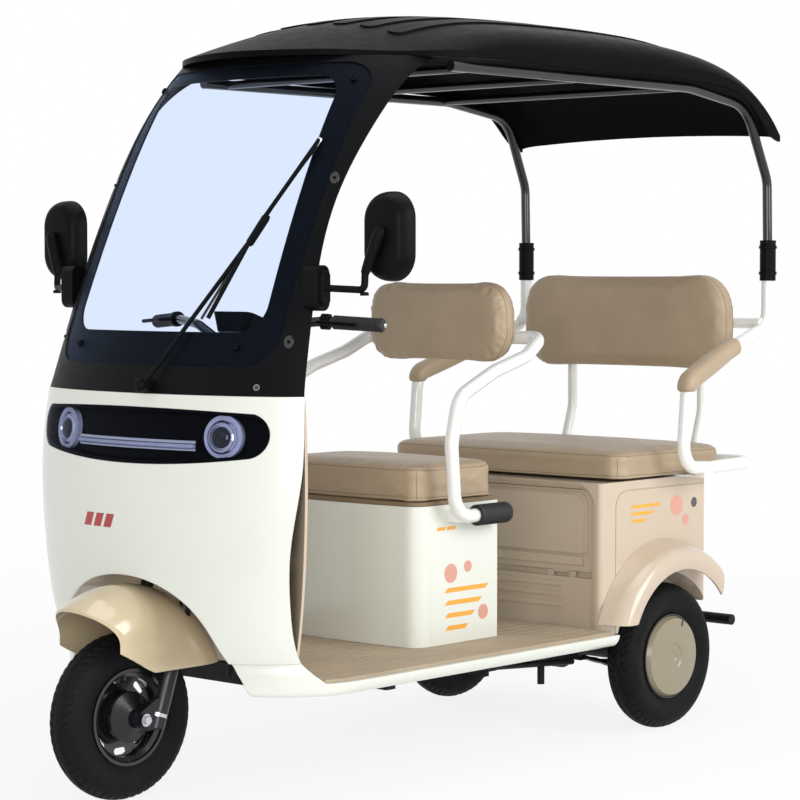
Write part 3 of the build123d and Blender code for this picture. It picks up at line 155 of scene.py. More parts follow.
def pane(name, tint, film_and_sheen, least, most, gloss=0.03):
    """Thin clear sheet: clear when faced squarely, and more of a flat film colour at a slant, where
    a pale colour is a painted sheen in place of the glass's reflection.
    """
    material = bpy.data.materials.new(name)
    material.use_nodes = True
    tree = material.node_tree
    shader = tree.nodes["Principled BSDF"]
    shader.inputs["Base Color"].default_value = colour(film_and_sheen)
    shader.inputs["Specular IOR Level"].default_value = 0.2
    place = add_node(tree, "ShaderNodeTexCoord").outputs["Object"]
    tree.links.new(spread(tree, cloud(tree, place, 9.0), gloss, gloss + 0.03),
                   shader.inputs["Roughness"])
    clear = add_node(tree, "ShaderNodeBsdfTransparent", {"Color": colour(tint)})
    slant = add_node(tree, "ShaderNodeLayerWeight", {"Blend": 0.5})
    steep = add_node(tree, "ShaderNodeMath", {1: 4.0}, operation="POWER")
    share = add_node(tree, "ShaderNodeMapRange", {"To Min": least, "To Max": most})
    mix = add_node(tree, "ShaderNodeMixShader")
    tree.links.new(slant.outputs["Facing"], steep.inputs[0])
    tree.links.new(steep.outputs[0], share.inputs["Value"])
    tree.links.new(share.outputs["Result"], mix.inputs["Fac"])
    tree.links.new(clear.outputs["BSDF"], mix.inputs[1])
    tree.links.new(shader.outputs["BSDF"], mix.inputs[2])
    tree.links.new(mix.outputs["Shader"], tree.nodes["Material Output"].inputs["Surface"])
    return material


ivory = finish("ivory_paint", "#DFE2D8", 0.24, coat=0.5, tone=0.010, rough_by=0.012, edge=0.003)
champagne = finish("champagne_paint", "#C6B595", 0.20, coat=0.7, tone=0.012, rough_by=0.015)
rose_beige = finish("rose_beige_paint", "#C6B5A0", 0.26, coat=0.5, tone=0.010, rough_by=0.012,
                    edge=0.002)
hub_beige = finish("hub_paint", "#8F856F", 0.30, coat=0.3, tone=0.02, rough_by=0.02)
leather = finish("seat_leather", "#A89479", 0.46, grain="leather", relief=0.00016, tone=0.07,
                 patch=9.0, rough_by=0.06, sheen=0.12)
thread = finish("seat_thread", "#6E5C45", 0.7, grain="rubber", relief=0.0001)
# Darker leather: painted shade, laid as thin lines in the seam creases and used on the seat base
# under the cushion.
painted_shade_leather = finish("leather_painted_shade", "#7A684E", 0.6, grain="leather", relief=0.0001)
matt_black = finish("moulded_black", "#0C0D0F", 0.42, grain="stipple", relief=0.00006, tone=0.12,
                    level=0.06, edge=0.002)
roof_black = finish("roof_black", "#08090B", 0.42, grain="stipple", relief=0.00005, tone=0.12,
                    level=0.03, edge=0.003)
gloss_black = finish("gloss_black", "#0C0C0E", 0.10, tone=0.1, coat=0.6)
tube_black = finish("tube_black", "#0E0F11", 0.22, tone=0.1, coat=0.4, level=0.4)
chassis_black = finish("chassis_black", "#0E0F11", 0.5, grain="cast", relief=0.0001, tone=0.2,
                       rough_by=0.1, level=0.2)
fork_black = finish("fork_black", "#1C1D20", 0.28, grain="cast", relief=0.00005, tone=0.15,
                    metal=0.3)
motor_grey = finish("motor_casting", "#4A4B4D", 0.55, grain="cast", relief=0.0003, tone=0.2,
                    metal=0.6)
white_tube = finish("white_tube", "#E9EAE6", 0.18, coat=0.6, tone=0.01, rough_by=0.02)
mat_rubber = finish("mat_rubber", "#AD9D86", 0.62, grain="stipple", relief=0.0003, tone=0.07,
                    patch=7.0, level=0.35)
tyre_rubber = finish("tyre_rubber", "#0D0E0F", 0.66, grain="rubber", relief=0.0002, tone=0.18,
                     patch=11.0, rough_by=0.08, level=0.15)
grip_rubber = finish("grip_rubber", "#161618", 0.55, grain="rubber", relief=0.00025, tone=0.1)
rim_black = finish("rim_black", "#141517", 0.25, tone=0.15, coat=0.4)
steel = finish("bright_steel", "#C9CBD0", 0.16, grain="cast", relief=0.00001, tone=0.06, metal=1.0)
chrome = finish("chrome", "#E6E8EC", 0.05, relief=0.000003, tone=0.02, rough_by=0.02, metal=1.0)
lamp_glow = finish("lamp_ring_white", "#D6D9EC", 0.22, coat=0.5, tone=0.05, patch=40.0)
lamp_red = finish("tail_red", "#8E0F12", 0.14, coat=0.7, tone=0.08, patch=30.0)
battery_black = finish("battery_case", "#24262B", 0.5, grain="stipple", relief=0.0001, tone=0.1)
label_orange = finish("stripe_orange", "#EFA93C", 0.35, tone=0.04)
label_coral = finish("stripe_coral", "#D79C8B", 0.35, tone=0.04)
label_red = finish("stripe_red", "#A8262C", 0.3, tone=0.05, coat=0.3)
port_grey = finish("port_grey", "#55555A", 0.4, grain="stipple", relief=0.00005)
# Lamp lens: the colour shown at a slant is its own dark smoked tint.
lamp_clear = pane("lamp_glass", "#E6E8F0", "#3C4048", 0.01, 0.35)
# Windshield: the whitish colour shown at a slant is a painted sheen.
shield_clear = pane("windshield_glass", "#EDF4FF", "#DCE6F4", 0.001, 0.05)

finishes = {
    ivory: ["front_shell", "running_board", "front_seat_box"],
    champagne: ["front_fender"],
    rose_beige: ["leg_shield", "rear_body", "rear_fenders", "storage_door"],
    hub_beige: ["hubcap_left", "hubcap_right"],
    leather: ["armrests", "front_backrest", "front_seat_cushion", "rear_backrest",
              "rear_seat_cushion"],
    matt_black: ["bar_controls", "front_frame", "headlamp_housing", "mirrors", "post_sleeves",
                 "wiper"],
    roof_black: ["roof_canopy"],
    tube_black: ["canopy_tubes", "handlebar"],
    chassis_black: ["frame", "rear_axle"],
    fork_black: ["front_fork"],
    motor_grey: ["drive_motor"],
    white_tube: ["front_handrail", "rear_handrail"],
    mat_rubber: ["floor_mat"],
    tyre_rubber: ["front_tyre", "rear_tyre_left", "rear_tyre_right"],
    grip_rubber: ["handlebar_grips", "side_grips"],
    rim_black: ["front_rim", "rear_rim_left", "rear_rim_right"],
    # The seat base under the cushion takes the darker leather as painted shade.
    painted_shade_leather: ["front_seat_base"],
    lamp_glow: ["lamp_rings"],
    lamp_red: ["tail_lamps"],
    battery_black: ["battery"],
    lamp_clear: ["headlamp_lens"],
    shield_clear: ["windshield"],
}
for material, names in finishes.items():
    for name in names:
        for slot in nodes[name].material_slots:
            slot.material = material


# --- Making pieces ------------------------------
def piece(name, mesh, material, body):
    """A finished mesh as an object that rides on a body."""
    mesh.materials.clear()
    mesh.materials.append(material)
    obj = bpy.data.objects.new(name, mesh)
    scene.collection.objects.link(obj)
    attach(obj, body)
    return obj


def smooth(mesh, angle=35.0):
    mesh.shade_smooth()
    mesh.set_sharp_from_angle(angle=math.radians(angle))
    return mesh


def mesh_from(vertices, faces, name="shape"):
    mesh = bpy.data.meshes.new(name)
    mesh.from_pydata([tuple(v) for v in vertices], [], faces)
    mesh.validate()
    shape = bmesh.new()
    shape.from_mesh(mesh)
    bmesh.ops.recalc_face_normals(shape, faces=shape.faces)
    shape.to_mesh(mesh)
    shape.free()
    return mesh


def joined(meshes):
    """Several meshes as one."""
    whole = bmesh.new()
    for mesh in meshes:
        whole.from_mesh(mesh)
    mesh = bpy.data.meshes.new("joined")
    whole.to_mesh(mesh)
    whole.free()
    return smooth(mesh)


def rings_to_mesh(rings, closed=False, caps=True):
    """Skin over rings of equally many points."""
    count = len(rings[0])
    vertices = [point for ring in rings for point in ring]
    faces = []
    spans = len(rings) if closed else len(rings) - 1
    for i in range(spans):
        a, b = i * count, ((i + 1) % len(rings)) * count
        for j in range(count):
            k = (j + 1) % count
            faces.append((a + j, a + k, b + k, b + j))
    if caps and not closed:
        faces.append(tuple(range(count - 1, -1, -1)))
        faces.append(tuple(range(len(vertices) - count, len(vertices))))
    return mesh_from(vertices, faces)


def frames_along(points, closed=False):
    """Position and two cross directions at each point of a path, without twist."""
    points = [Vector(p) for p in points]
    count = len(points)
    result, normal = [], None
    for i, point in enumerate(points):
        before = points[i - 1] if i or closed else point
        after = points[(i + 1) % count] if i < count - 1 or closed else point
        tangent = (after - before).normalized()
        if normal is None:
            normal = tangent.cross(Vector((0.31, 0.17, 1.0))).normalized()
        normal = (normal - tangent * normal.dot(tangent)).normalized()
        result.append((point, normal, tangent.cross(normal)))
    return result


def tube(points, radius, sides=10, closed=False):
    rings = []
    for point, u, v in frames_along(points, closed):
        rings.append([
            point + radius * (math.cos(t) * u + math.sin(t) * v)
            for t in (2 * math.pi * i / sides for i in range(sides))
        ])
    return rings_to_mesh(rings, closed)


def turned(profile, origin, axis, segments=48):
    """Solid of revolution: profile is a list of (distance along axis, radius)."""
    axis = Vector(axis).normalized()
    u = axis.orthogonal().normalized()
    v = axis.cross(u)
    origin = Vector(origin)
    rings = []
    for i in range(segments):
        t = 2 * math.pi * i / segments
        out = math.cos(t) * u + math.sin(t) * v
        rings.append([origin + axis * a + out * max(r, 0.00002) for a, r in profile])
    return rings_to_mesh(rings, closed=True)


def prism(outline, thickness, origin, u, v, bevel=0.0):
    """Flat plate from a 2-D outline, standing out along the cross of u and v."""
    u, v = Vector(u).normalized(), Vector(v).normalized()
    w = u.cross(v)
    origin = Vector(origin)
    base = [origin + u * x + v * y for x, y in outline]
    shape = bmesh.new()
    face = shape.faces.new([shape.verts.new(p) for p in base])
    moved = bmesh.ops.extrude_face_region(shape, geom=[face])
    top = [item for item in moved["geom"] if isinstance(item, bmesh.types.BMVert)]
    bmesh.ops.translate(shape, vec=w * thickness, verts=top)
    bmesh.ops.recalc_face_normals(shape, faces=shape.faces)
    if bevel:
        rim = [e for e in shape.edges if all(vert in top for vert in e.verts)]
        bmesh.ops.bevel(shape, geom=rim, offset=bevel, segments=3, affect="EDGES")
    mesh = bpy.data.meshes.new("plate")
    shape.to_mesh(mesh)
    shape.free()
    return smooth(mesh)


def round_rectangle(width, height, radius, steps=8):
    points = []
    for corner, (sx, sy) in enumerate(((1, 1), (-1, 1), (-1, -1), (1, -1))):
        for i in range(steps + 1):
            t = math.pi / 2 * (corner + i / steps)
            points.append((sx * (width / 2 - radius) + radius * math.cos(t),
                           sy * (height / 2 - radius) + radius * math.sin(t)))
    return points


def circle(radius, count=32):
    return [(radius * math.cos(2 * math.pi * i / count), radius * math.sin(2 * math.pi * i / count))
            for i in range(count)]


def screw(point, normal, radius):
    """Low domed screw head with a hexagon socket."""
    head = turned(
        [(-0.2 * radius, radius), (0.25 * radius, radius), (0.6 * radius, 0.72 * radius),
         (0.7 * radius, 0.46 * radius)],
        point, normal, 20)
    socket = turned([(0.7 * radius, 0.46 * radius), (0.25 * radius, 0.42 * radius),
                     (0.25 * radius, 0.0)], point, normal, 6)
    return joined([head, socket])


def search_tree(mesh):
    """Tree over a mesh's faces, for rays and nearest points."""
    return BVHTree.FromPolygons([v.co for v in mesh.vertices], [p.vertices for p in mesh.polygons])


surfaces = {}


def surface(name):
    """Ray target made from a CAD node at rest."""
    if name not in surfaces:
        surfaces[name] = search_tree(nodes[name].data)
    return surfaces[name]


def hit(name, start, direction):
    """Point and outward normal where a ray meets a CAD node."""
    start, direction = Vector(start), Vector(direction).normalized()
    point, normal, _, _ = surface(name).ray_cast(start, direction)
    if normal.dot(direction) > 0:
        normal = -normal
    return point, normal


def decal(name, node, outlines, start, u, v, direction, material, body, lift=0.0004):
    """Flat shapes laid on a curved CAD surface, as paint or film."""
    u, v, start = Vector(u), Vector(v), Vector(start)
    meshes = []
    for outline in outlines:
        shape = bmesh.new()
        face = shape.faces.new([shape.verts.new((x, y, 0)) for x, y in outline])
        bmesh.ops.triangulate(shape, faces=[face])
        bmesh.ops.subdivide_edges(shape, edges=shape.edges, cuts=2, use_grid_fill=True)
        for vert in shape.verts:
            point, normal = hit(node, start + u * vert.co.x + v * vert.co.y, direction)
            vert.co = point + normal * lift
        mesh = bpy.data.meshes.new("decal")
        shape.to_mesh(mesh)
        shape.free()
        meshes.append(mesh)
    return piece(name, joined(meshes), material, body)


# --- Seats --------------------------------------
cloth_frames = 20
shade_line_radius = 0.0008


def settled(obj):
    """The object's mesh with its modifiers applied."""
    graph = bpy.context.evaluated_depsgraph_get()
    return bpy.data.meshes.new_from_object(obj.evaluated_get(graph))


def stuffed(node, voxel, cap, shape_point, keep_point, pressure=4.0):
    """A CAD pad's form, drawn in by shape_point, swollen as cloth and trimmed by keep_point."""
    body = bpy.data.objects.new("pad", nodes[node].data.copy())
    scene.collection.objects.link(body)
    remesh = body.modifiers.new("Remesh", "REMESH")
    remesh.mode = "VOXEL"
    remesh.voxel_size = voxel
    mesh = settled(body)
    bpy.data.objects.remove(body)
    for vertex in mesh.vertices:
        vertex.co = shape_point(vertex.co)
    start = [vertex.co.copy() for vertex in mesh.vertices]
    pad = bpy.data.objects.new("pad", mesh)
    scene.collection.objects.link(pad)
    cloth = pad.modifiers.new("Cloth", "CLOTH")
    cloth.settings.quality = 4
    cloth.settings.use_pressure = True
    cloth.settings.uniform_pressure_force = pressure
    cloth.settings.effector_weights.gravity = 0.0
    cloth.point_cache.frame_start = 1
    cloth.point_cache.frame_end = cloth_frames
    for step in range(1, cloth_frames + 1):
        scene.frame_set(step)
    mesh = settled(pad)
    bpy.data.objects.remove(pad)
    scene.frame_set(1)
    for vertex, before in zip(mesh.vertices, start):
        move = vertex.co - before
        if move.length > cap:
            move = move.normalized() * cap
        vertex.co = keep_point(before + move)
    return mesh


def press_seams(mesh, paths, depth, width):
    """Grooves along sewn lines."""
    points = [p for path in paths for p in path]
    tree = KDTree(len(points))
    for i, point in enumerate(points):
        tree.insert(point, i)
    tree.balance()
    moves = []
    for vertex in mesh.vertices:
        _, _, distance = tree.find(vertex.co)
        fall = depth * math.exp(-((distance / width) ** 2)) if distance < 3 * width else 0.0
        moves.append(vertex.normal * fall)
    for vertex, move in zip(mesh.vertices, moves):
        vertex.co = vertex.co - move


def subdivided(mesh):
    holder = bpy.data.objects.new("holder", mesh)
    scene.collection.objects.link(holder)
    levels = holder.modifiers.new("Subdivision", "SUBSURF")
    levels.levels = 1
    result = settled(holder)
    bpy.data.objects.remove(holder)
    return result


def laid_on(mesh, path, sink):
    """Path moved onto a mesh, a little below its surface."""
    tree = search_tree(mesh)
    result = []
    for point in path:
        place, normal, _, _ = tree.find_nearest(point)
        result.append((place - normal * sink, normal))
    return result


def stitches(mesh, paths, closed, pitch=0.0075, length=0.0045, radius=0.0006):
    """Short thread stitches along sewn lines."""
    parts = []
    for path in paths:
        line = [p for p, _ in laid_on(mesh, path, -radius * 0.3)]
        if closed:
            line.append(line[0])
        travelled, due = 0.0, 0.0
        for a, b in zip(line, line[1:]):
            span = (b - a).length
            while due <= travelled + span and span > 0:
                place = a + (b - a) * ((due - travelled) / span)
                ahead = (b - a).normalized() * length / 2
                parts.append(tube([place - ahead, place, place + ahead], radius, 5))
                due += pitch
            travelled += span
    return joined(parts)


def seat_piece(name, node, mesh, paths, closed, body, depth=0.0022, width=0.0045):
    """Finish a stuffed pad: sew its seams and lay painted shade along them, give it leather, and
    stand it for its CAD solid.
    """
    press_seams(mesh, paths, depth, width)
    mesh = subdivided(mesh)
    mesh.shade_smooth()
    pad = piece(name, mesh, leather, body)
    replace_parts(pad, node)
    # Thin dark lines along the seams: painted shade in the seam creases.
    folds = []
    for path in paths:
        line = [p for p, _ in laid_on(mesh, path, 0.0003)]
        folds.append(tube(line, shade_line_radius, 6, closed))
    piece(f"{name}_seams", joined(folds), painted_shade_leather, body)
    piece(f"{name}_stitches", stitches(mesh, paths, closed), thread, body)
    return pad


def dense(outline, spacing=0.004):
    """Closed outline with points at an even spacing."""
    result = []
    ends = outline[1:] + outline[:1]
    for a, b in zip(outline, ends):
        a, b = Vector(a), Vector(b)
        count = max(1, int((b - a).length / spacing))
        result += [a + (b - a) * i / count for i in range(count)]
    return result


def seat_cushion(name, node, body, crown, corner, voxel):
    """Bench cushion: flat below, crowned above, its sides drawn in between the corners."""
    low, high = (Vector(c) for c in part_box(node))
    middle = (low + high) / 2
    half = (high - low) / 2

    def shape_point(point):
        u, v = (point.x - middle.x) / half.x, (point.y - middle.y) / half.y
        rise = (point.z - low.z) / (high.z - low.z)
        waist = 0.006 + 0.004 * math.sin(math.pi * rise)
        x = point.x - math.copysign(min(1.0, abs(u)) ** 3 * waist * (1.6 - 0.6 * v * v), u)
        y = point.y - math.copysign(min(1.0, abs(v)) ** 3 * waist * (1.6 - 0.6 * u * u), v)
        dome = max(0.0, 1 - u * u) * max(0.0, 1 - v * v)
        return Vector((x, y, point.z - 0.008 * rise + crown * dome * rise))

    def keep_point(point):
        return Vector((
            min(max(point.x, low.x + 0.001), high.x - 0.001),
            min(max(point.y, low.y + 0.001), high.y - 0.001),
            min(max(point.z, low.z + 0.0004), high.z + 0.006),
        ))

    mesh = stuffed(node, voxel, 0.008, shape_point, keep_point)
    top = dense(round_rectangle(2 * half.x - 0.022, 2 * half.y - 0.022, corner))
    edge = [Vector((middle.x + p.x, middle.y + p.y, high.z - 0.006)) for p in top]
    low_edge = [Vector((p.x + (p.x - middle.x) * 0.04, p.y + (p.y - middle.y) * 0.04,
                        low.z + 0.012)) for p in edge]
    tree = search_tree(mesh)
    paths = [[tree.find_nearest(p)[0] for p in path] for path in (edge, low_edge)]
    pad = seat_piece(name, node, mesh, paths, True, body)
    # Dark lines up the four corners: painted shade along the corner seams.
    uprights = []
    for sx in (-1, 1):
        for sy in (-1, 1):
            x = middle.x + sx * (half.x - corner * 0.30)
            y = middle.y + sy * (half.y - corner * 0.30)
            line = [Vector((x, y, low.z + 0.006 + i * (high.z - low.z - 0.014) / 12))
                    for i in range(13)]
            uprights.append(tube([p for p, _ in laid_on(pad.data, line, 0.0002)], shade_line_radius, 6))
    piece(f"{name}_corner_painted_shade", joined(uprights), painted_shade_leather, body)
    return pad


def seat_back(name, node, body, crown, corner, voxel):
    """Upright pad: crowned towards the rider, flatter behind, with a sewn border."""
    low, high = (Vector(c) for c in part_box(node))
    middle = (low + high) / 2
    half = (high - low) / 2

    def shape_point(point):
        u, v = (point.x - middle.x) / half.x, (point.z - middle.z) / half.z
        ahead = (high.y - point.y) / (high.y - low.y)
        x = point.x - math.copysign(min(1.0, abs(u)) ** 3 * 0.006 * (1.5 - 0.5 * v * v), u)
        z = point.z - math.copysign(min(1.0, abs(v)) ** 3 * 0.006 * (1.5 - 0.5 * u * u), v)
        dome = max(0.0, 1 - u * u) * max(0.0, 1 - v * v)
        return Vector((x, point.y + 0.010 * ahead - crown * dome * ahead, z))

    def keep_point(point):
        return Vector((
            min(max(point.x, low.x + 0.001), high.x - 0.001),
            min(max(point.y, low.y - 0.006), high.y - 0.0004),
            min(max(point.z, low.z + 0.001), high.z - 0.001),
        ))

    mesh = stuffed(node, voxel, 0.010, shape_point, keep_point)
    outline = dense(round_rectangle(2 * half.x - 0.012, 2 * half.z - 0.012, corner))
    tree = search_tree(mesh)
    paths = []
    for depth in (0.022, 0.052):
        border = [Vector((middle.x + p.x, low.y + depth, middle.z + p.y)) for p in outline]
        paths.append([tree.find_nearest(p)[0] for p in border])
    return seat_piece(name, node, mesh, paths, True, body, depth=0.0018)


seat_cushion("front_cushion", "front_seat_cushion", "front_seat", 0.010, 0.046, 0.007)
seat_cushion("rear_cushion", "rear_seat_cushion", "chassis", 0.012, 0.060, 0.009)
seat_back("front_back_pad", "front_backrest", "chassis", 0.014, 0.094, 0.0065)
seat_back("rear_back_pad", "rear_backrest", "chassis", 0.016, 0.112, 0.0075)


# --- Shared places and routes, in millimetres ---
axle_ahead = 868.0
wheelbase = 1515.0
half_track = 351.0
tyre_radius = 185.0
before_cab = -400


def spot(x, y, z):
    """Point from its distances in millimetres: X, behind the front axle, height."""
    return Vector((x, y - axle_ahead, z)) / 1000


def bar_grip_ends(sign):
    """Inner and outer end of a grip on the handlebar."""
    return spot(sign * 235, 395.6, 1050), spot(sign * 368, 451.6, 1042)


def rounded(points, radii, steps=6):
    """Path through points with its inner corners rounded by arcs."""
    points = [Vector(p) for p in points]
    path = [points[0]]
    for before, corner, after, radius in zip(points, points[1:], points[2:], radii):
        back, on = (before - corner).normalized(), (after - corner).normalized()
        angle = back.angle(on)
        reach = radius / math.tan(angle / 2)
        start, end = corner + back * reach, corner + on * reach
        middle = corner + (back + on).normalized() * radius / math.sin(angle / 2)
        turn = math.pi - angle
        for i in range(steps + 1):
            share = i / steps
            weight_a = math.sin((1 - share) * turn) / math.sin(turn)
            weight_b = math.sin(share * turn) / math.sin(turn)
            path.append(middle + (start - middle) * weight_a + (end - middle) * weight_b)
    path.append(points[-1])
    return path


def evened(path, spacing):
    """The same path with points at an even spacing."""
    result, due, travelled = [path[0]], spacing, 0.0
    for a, b in zip(path, path[1:]):
        span = (b - a).length
        while span and due <= travelled + span:
            result.append(a + (b - a) * ((due - travelled) / span))
            due += spacing
        travelled += span
    if (result[-1] - path[-1]).length > spacing / 2:
        result.append(path[-1])
    return result


# --- Tyres --------------------------------------
def tread_depth(x, angle):
    """Depth of the pattern at a distance from the middle of the tread, in millimetres."""
    waves, notches = 36, 54
    groove_at, groove_width, groove_depth = 10.5, 2.2, 3.0
    notch_from, notch_width, notch_depth = 14.5, 0.17, 2.8
    depth = 0.0
    swing = 2.0 * math.sin(angle * waves)
    for line in (-groove_at, groove_at):
        off = abs(x - line - swing) / groove_width
        depth = max(depth, groove_depth * max(0.0, 1 - off ** 3))
    if abs(x) > notch_from:
        phase = (angle * notches / (2 * math.pi) + abs(x) * 0.035) % 1.0
        depth = max(depth, notch_depth * max(0.0, 1 - (abs(phase - 0.5) / notch_width) ** 4))
    return depth


def tyre_profile():
    """Half section points as (x, radius), in millimetres, from one bead to the other."""
    bead, shoulder, side = (29.9, 107.5), (31.7, 175.0), (44.0, 146.2)
    tread = [(x, tyre_radius - 10.0 * (x / shoulder[0]) ** 2) for x in
             (shoulder[0] * (i / 13 - 1) for i in range(27))]
    wall = []
    for i in range(1, 13):
        t = i / 13
        a, b, c = (1 - t) * (1 - t), 2 * t * (1 - t), t * t
        wall.append((a * shoulder[0] + b * (2 * side[0] - 31.0) + c * bead[0],
                     a * shoulder[1] + b * (side[1] + 4) + c * bead[1]))
    return [(-x, r) for x, r in reversed(wall + [bead])] + tread + wall + [bead]


def treaded_tyre(name, node, body, centre_x, axle_y, turns=300):
    tread_edge, wall_edge = 174.9, 112
    centre = spot(centre_x, axle_y, tyre_radius)
    profile = tyre_profile()
    rings = []
    for i in range(turns):
        angle = 2 * math.pi * i / turns
        out = Vector((0, math.cos(angle), math.sin(angle)))
        ring = []
        for x, radius in profile:
            if radius >= tread_edge:
                radius -= tread_depth(x, angle)
            elif radius > wall_edge:
                radius -= 0.5 * (abs(radius - 158) < 2.4) + 0.5 * (abs(radius - 122) < 2.4)
            ring.append(centre + Vector((x / 1000, 0, 0)) + out * (radius / 1000))
        rings.append(ring)
    tyre = piece(name, smooth(rings_to_mesh(rings, closed=True), 40), tyre_rubber, body)
    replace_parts(tyre, node)


treaded_tyre("front_tread_tyre", "front_tyre", "front_wheel", 0.0, 0.0)
treaded_tyre("left_tread_tyre", "rear_tyre_left", "rear_wheel_left", half_track, wheelbase)
treaded_tyre("right_tread_tyre", "rear_tyre_right", "rear_wheel_right", -half_track, wheelbase)


# --- Grips and arm pads -------------------------
def ribbed_grip(start, end, radius, bore, capped, pitch=0.0065, groove=0.0012):
    """Moulded grip: ribs round a tube, a rounded lip at the start and a closed or open end."""
    length = (end - start).length
    outer = [(0.0, bore), (0.0, radius - 0.003), (0.0008, radius - 0.001), (0.003, radius)]
    place = 0.008
    while place + pitch < length - 0.008:
        outer += [(place, radius), (place + 0.001, radius - groove),
                  (place + 0.0028, radius - groove), (place + 0.0038, radius)]
        place += pitch
    outer += [(length - 0.006, radius), (length - 0.002, radius - 0.002),
              (length, radius - 0.006)]
    if capped:
        outer += [(length, 0.0), (length - 0.005, 0.0), (length - 0.005, bore)]
    else:
        outer += [(length, bore)]
    return turned(outer, start, end - start, 40)


side_meshes, bar_meshes = [], []
for sign in (-1, 1):
    side_meshes.append(ribbed_grip(spot(sign * 300.0, 852, 586), spot(sign * 296.0, 970, 586),
                                   0.0252, 0.01705, True))
    inner, outer = bar_grip_ends(sign)
    bar_meshes.append(ribbed_grip(outer + (inner - outer) * 0.8, outer + (outer - inner) * 0.038,
                                  0.0159, 0.0113, True, pitch=0.0055))
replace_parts(piece("ribbed_side_grips", joined(side_meshes), grip_rubber, "chassis"),
            "side_grips")
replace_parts(piece("ribbed_bar_grips", joined(bar_meshes), grip_rubber, "steering"),
            "handlebar_grips")


def arm_pad(sign):
    """Soft pad wrapped over the rail: full in the middle, rounded at both ends."""
    route = rounded([spot(sign * 421, 1742, 972), spot(sign * 424, 1690, 955),
                     spot(sign * 452, 1490, 885), spot(sign * 452, 1488, 858)], [0.09, 0.026], 8)
    step, sides, squareness = 0.005, 28, 2.6
    path = evened(route, step)
    length = step * (len(path) - 1)
    rings = []
    for i, (point, u, v) in enumerate(frames_along(path)):
        along = i * step
        end = min(along, length - along)
        size = 0.0264 * (1 - 0.30 * max(0.0, 1 - end / 0.014) ** 2)
        size *= 1 - 0.035 * math.cos(2 * math.pi * along / length)
        up = (Vector((0, 0, 1)) - u.cross(v) * u.cross(v).z)
        up = up.normalized() if up.length > 0.3 else Vector((0, -1, 0))
        wide = u.cross(v).cross(up).normalized()
        ring = []
        for k in range(sides):
            t = 2 * math.pi * k / sides
            c, s = math.cos(t), math.sin(t)
            fat = (abs(c) ** squareness + abs(s) ** squareness) ** (-1 / squareness)
            ring.append(point + wide * c * size * fat * 0.97 + up * s * size * fat * 0.93)
        rings.append(ring)
    return rings_to_mesh(rings), path


pads, pad_lines = [], []
for sign in (-1, 1):
    mesh, path = arm_pad(sign)
    pads.append(mesh)
    # A dark line along the underside of each pad: painted shade under the pad.
    under = [p + Vector((0, 0, -0.03)) for p in path[4:-6]]
    pad_lines.append(tube([p for p, _ in laid_on(mesh, under, 0.0002)], 0.0009, 6))
whole_pads = subdivided(joined(pads))
whole_pads.shade_smooth()
arm_pads = piece("arm_pads", whole_pads, leather, "chassis")
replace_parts(arm_pads, "armrests")
piece("arm_pad_seams", joined(pad_lines), painted_shade_leather, "chassis")


# --- Head lamps ---------------------------------
def inside_lens(x, z, depth):
    """Point a little behind the lamp's lens, seen from the front."""
    point, normal = hit("headlamp_lens", spot(x, before_cab, z), (0, 1, 0))
    return point - normal * depth, normal


bar_path = [inside_lens(x, 786, 0.010)[0] for x in range(-190, 191, 10)]
piece("lamp_light_bar", joined([tube(bar_path, 0.0045, 10)]), lamp_glow, "chassis")
piece("lamp_bar_tray", joined([
    tube([p + Vector((0, 0.006, 0.008)) for p in bar_path], 0.0042, 8),
    tube([p + Vector((0, 0.006, -0.008)) for p in bar_path], 0.0042, 8),
]), chrome, "chassis")
bezels, domes = [], []
for sign in (-1, 1):
    centre, normal = hit("lamp_rings", spot(sign * 252, before_cab, 806), (0, 1, 0))
    for radius, ring_width, rise in ((0.0345, 0.0016, 0.001), (0.0285, 0.0022, 0.002)):
        bezels.append(turned([(rise - 0.002, radius - ring_width), (rise, radius - ring_width / 2),
                              (rise - 0.002, radius + ring_width)], centre, normal, 56))
    domes.append(turned([(0.0002, 0.0235), (0.0035, 0.021), (0.0062, 0.015), (0.0076, 0.008),
                         (0.008, 0.0)], centre, normal, 48))
piece("lamp_bezels", joined(bezels), chrome, "chassis")
piece("lamp_projectors", joined(domes), gloss_black, "chassis")


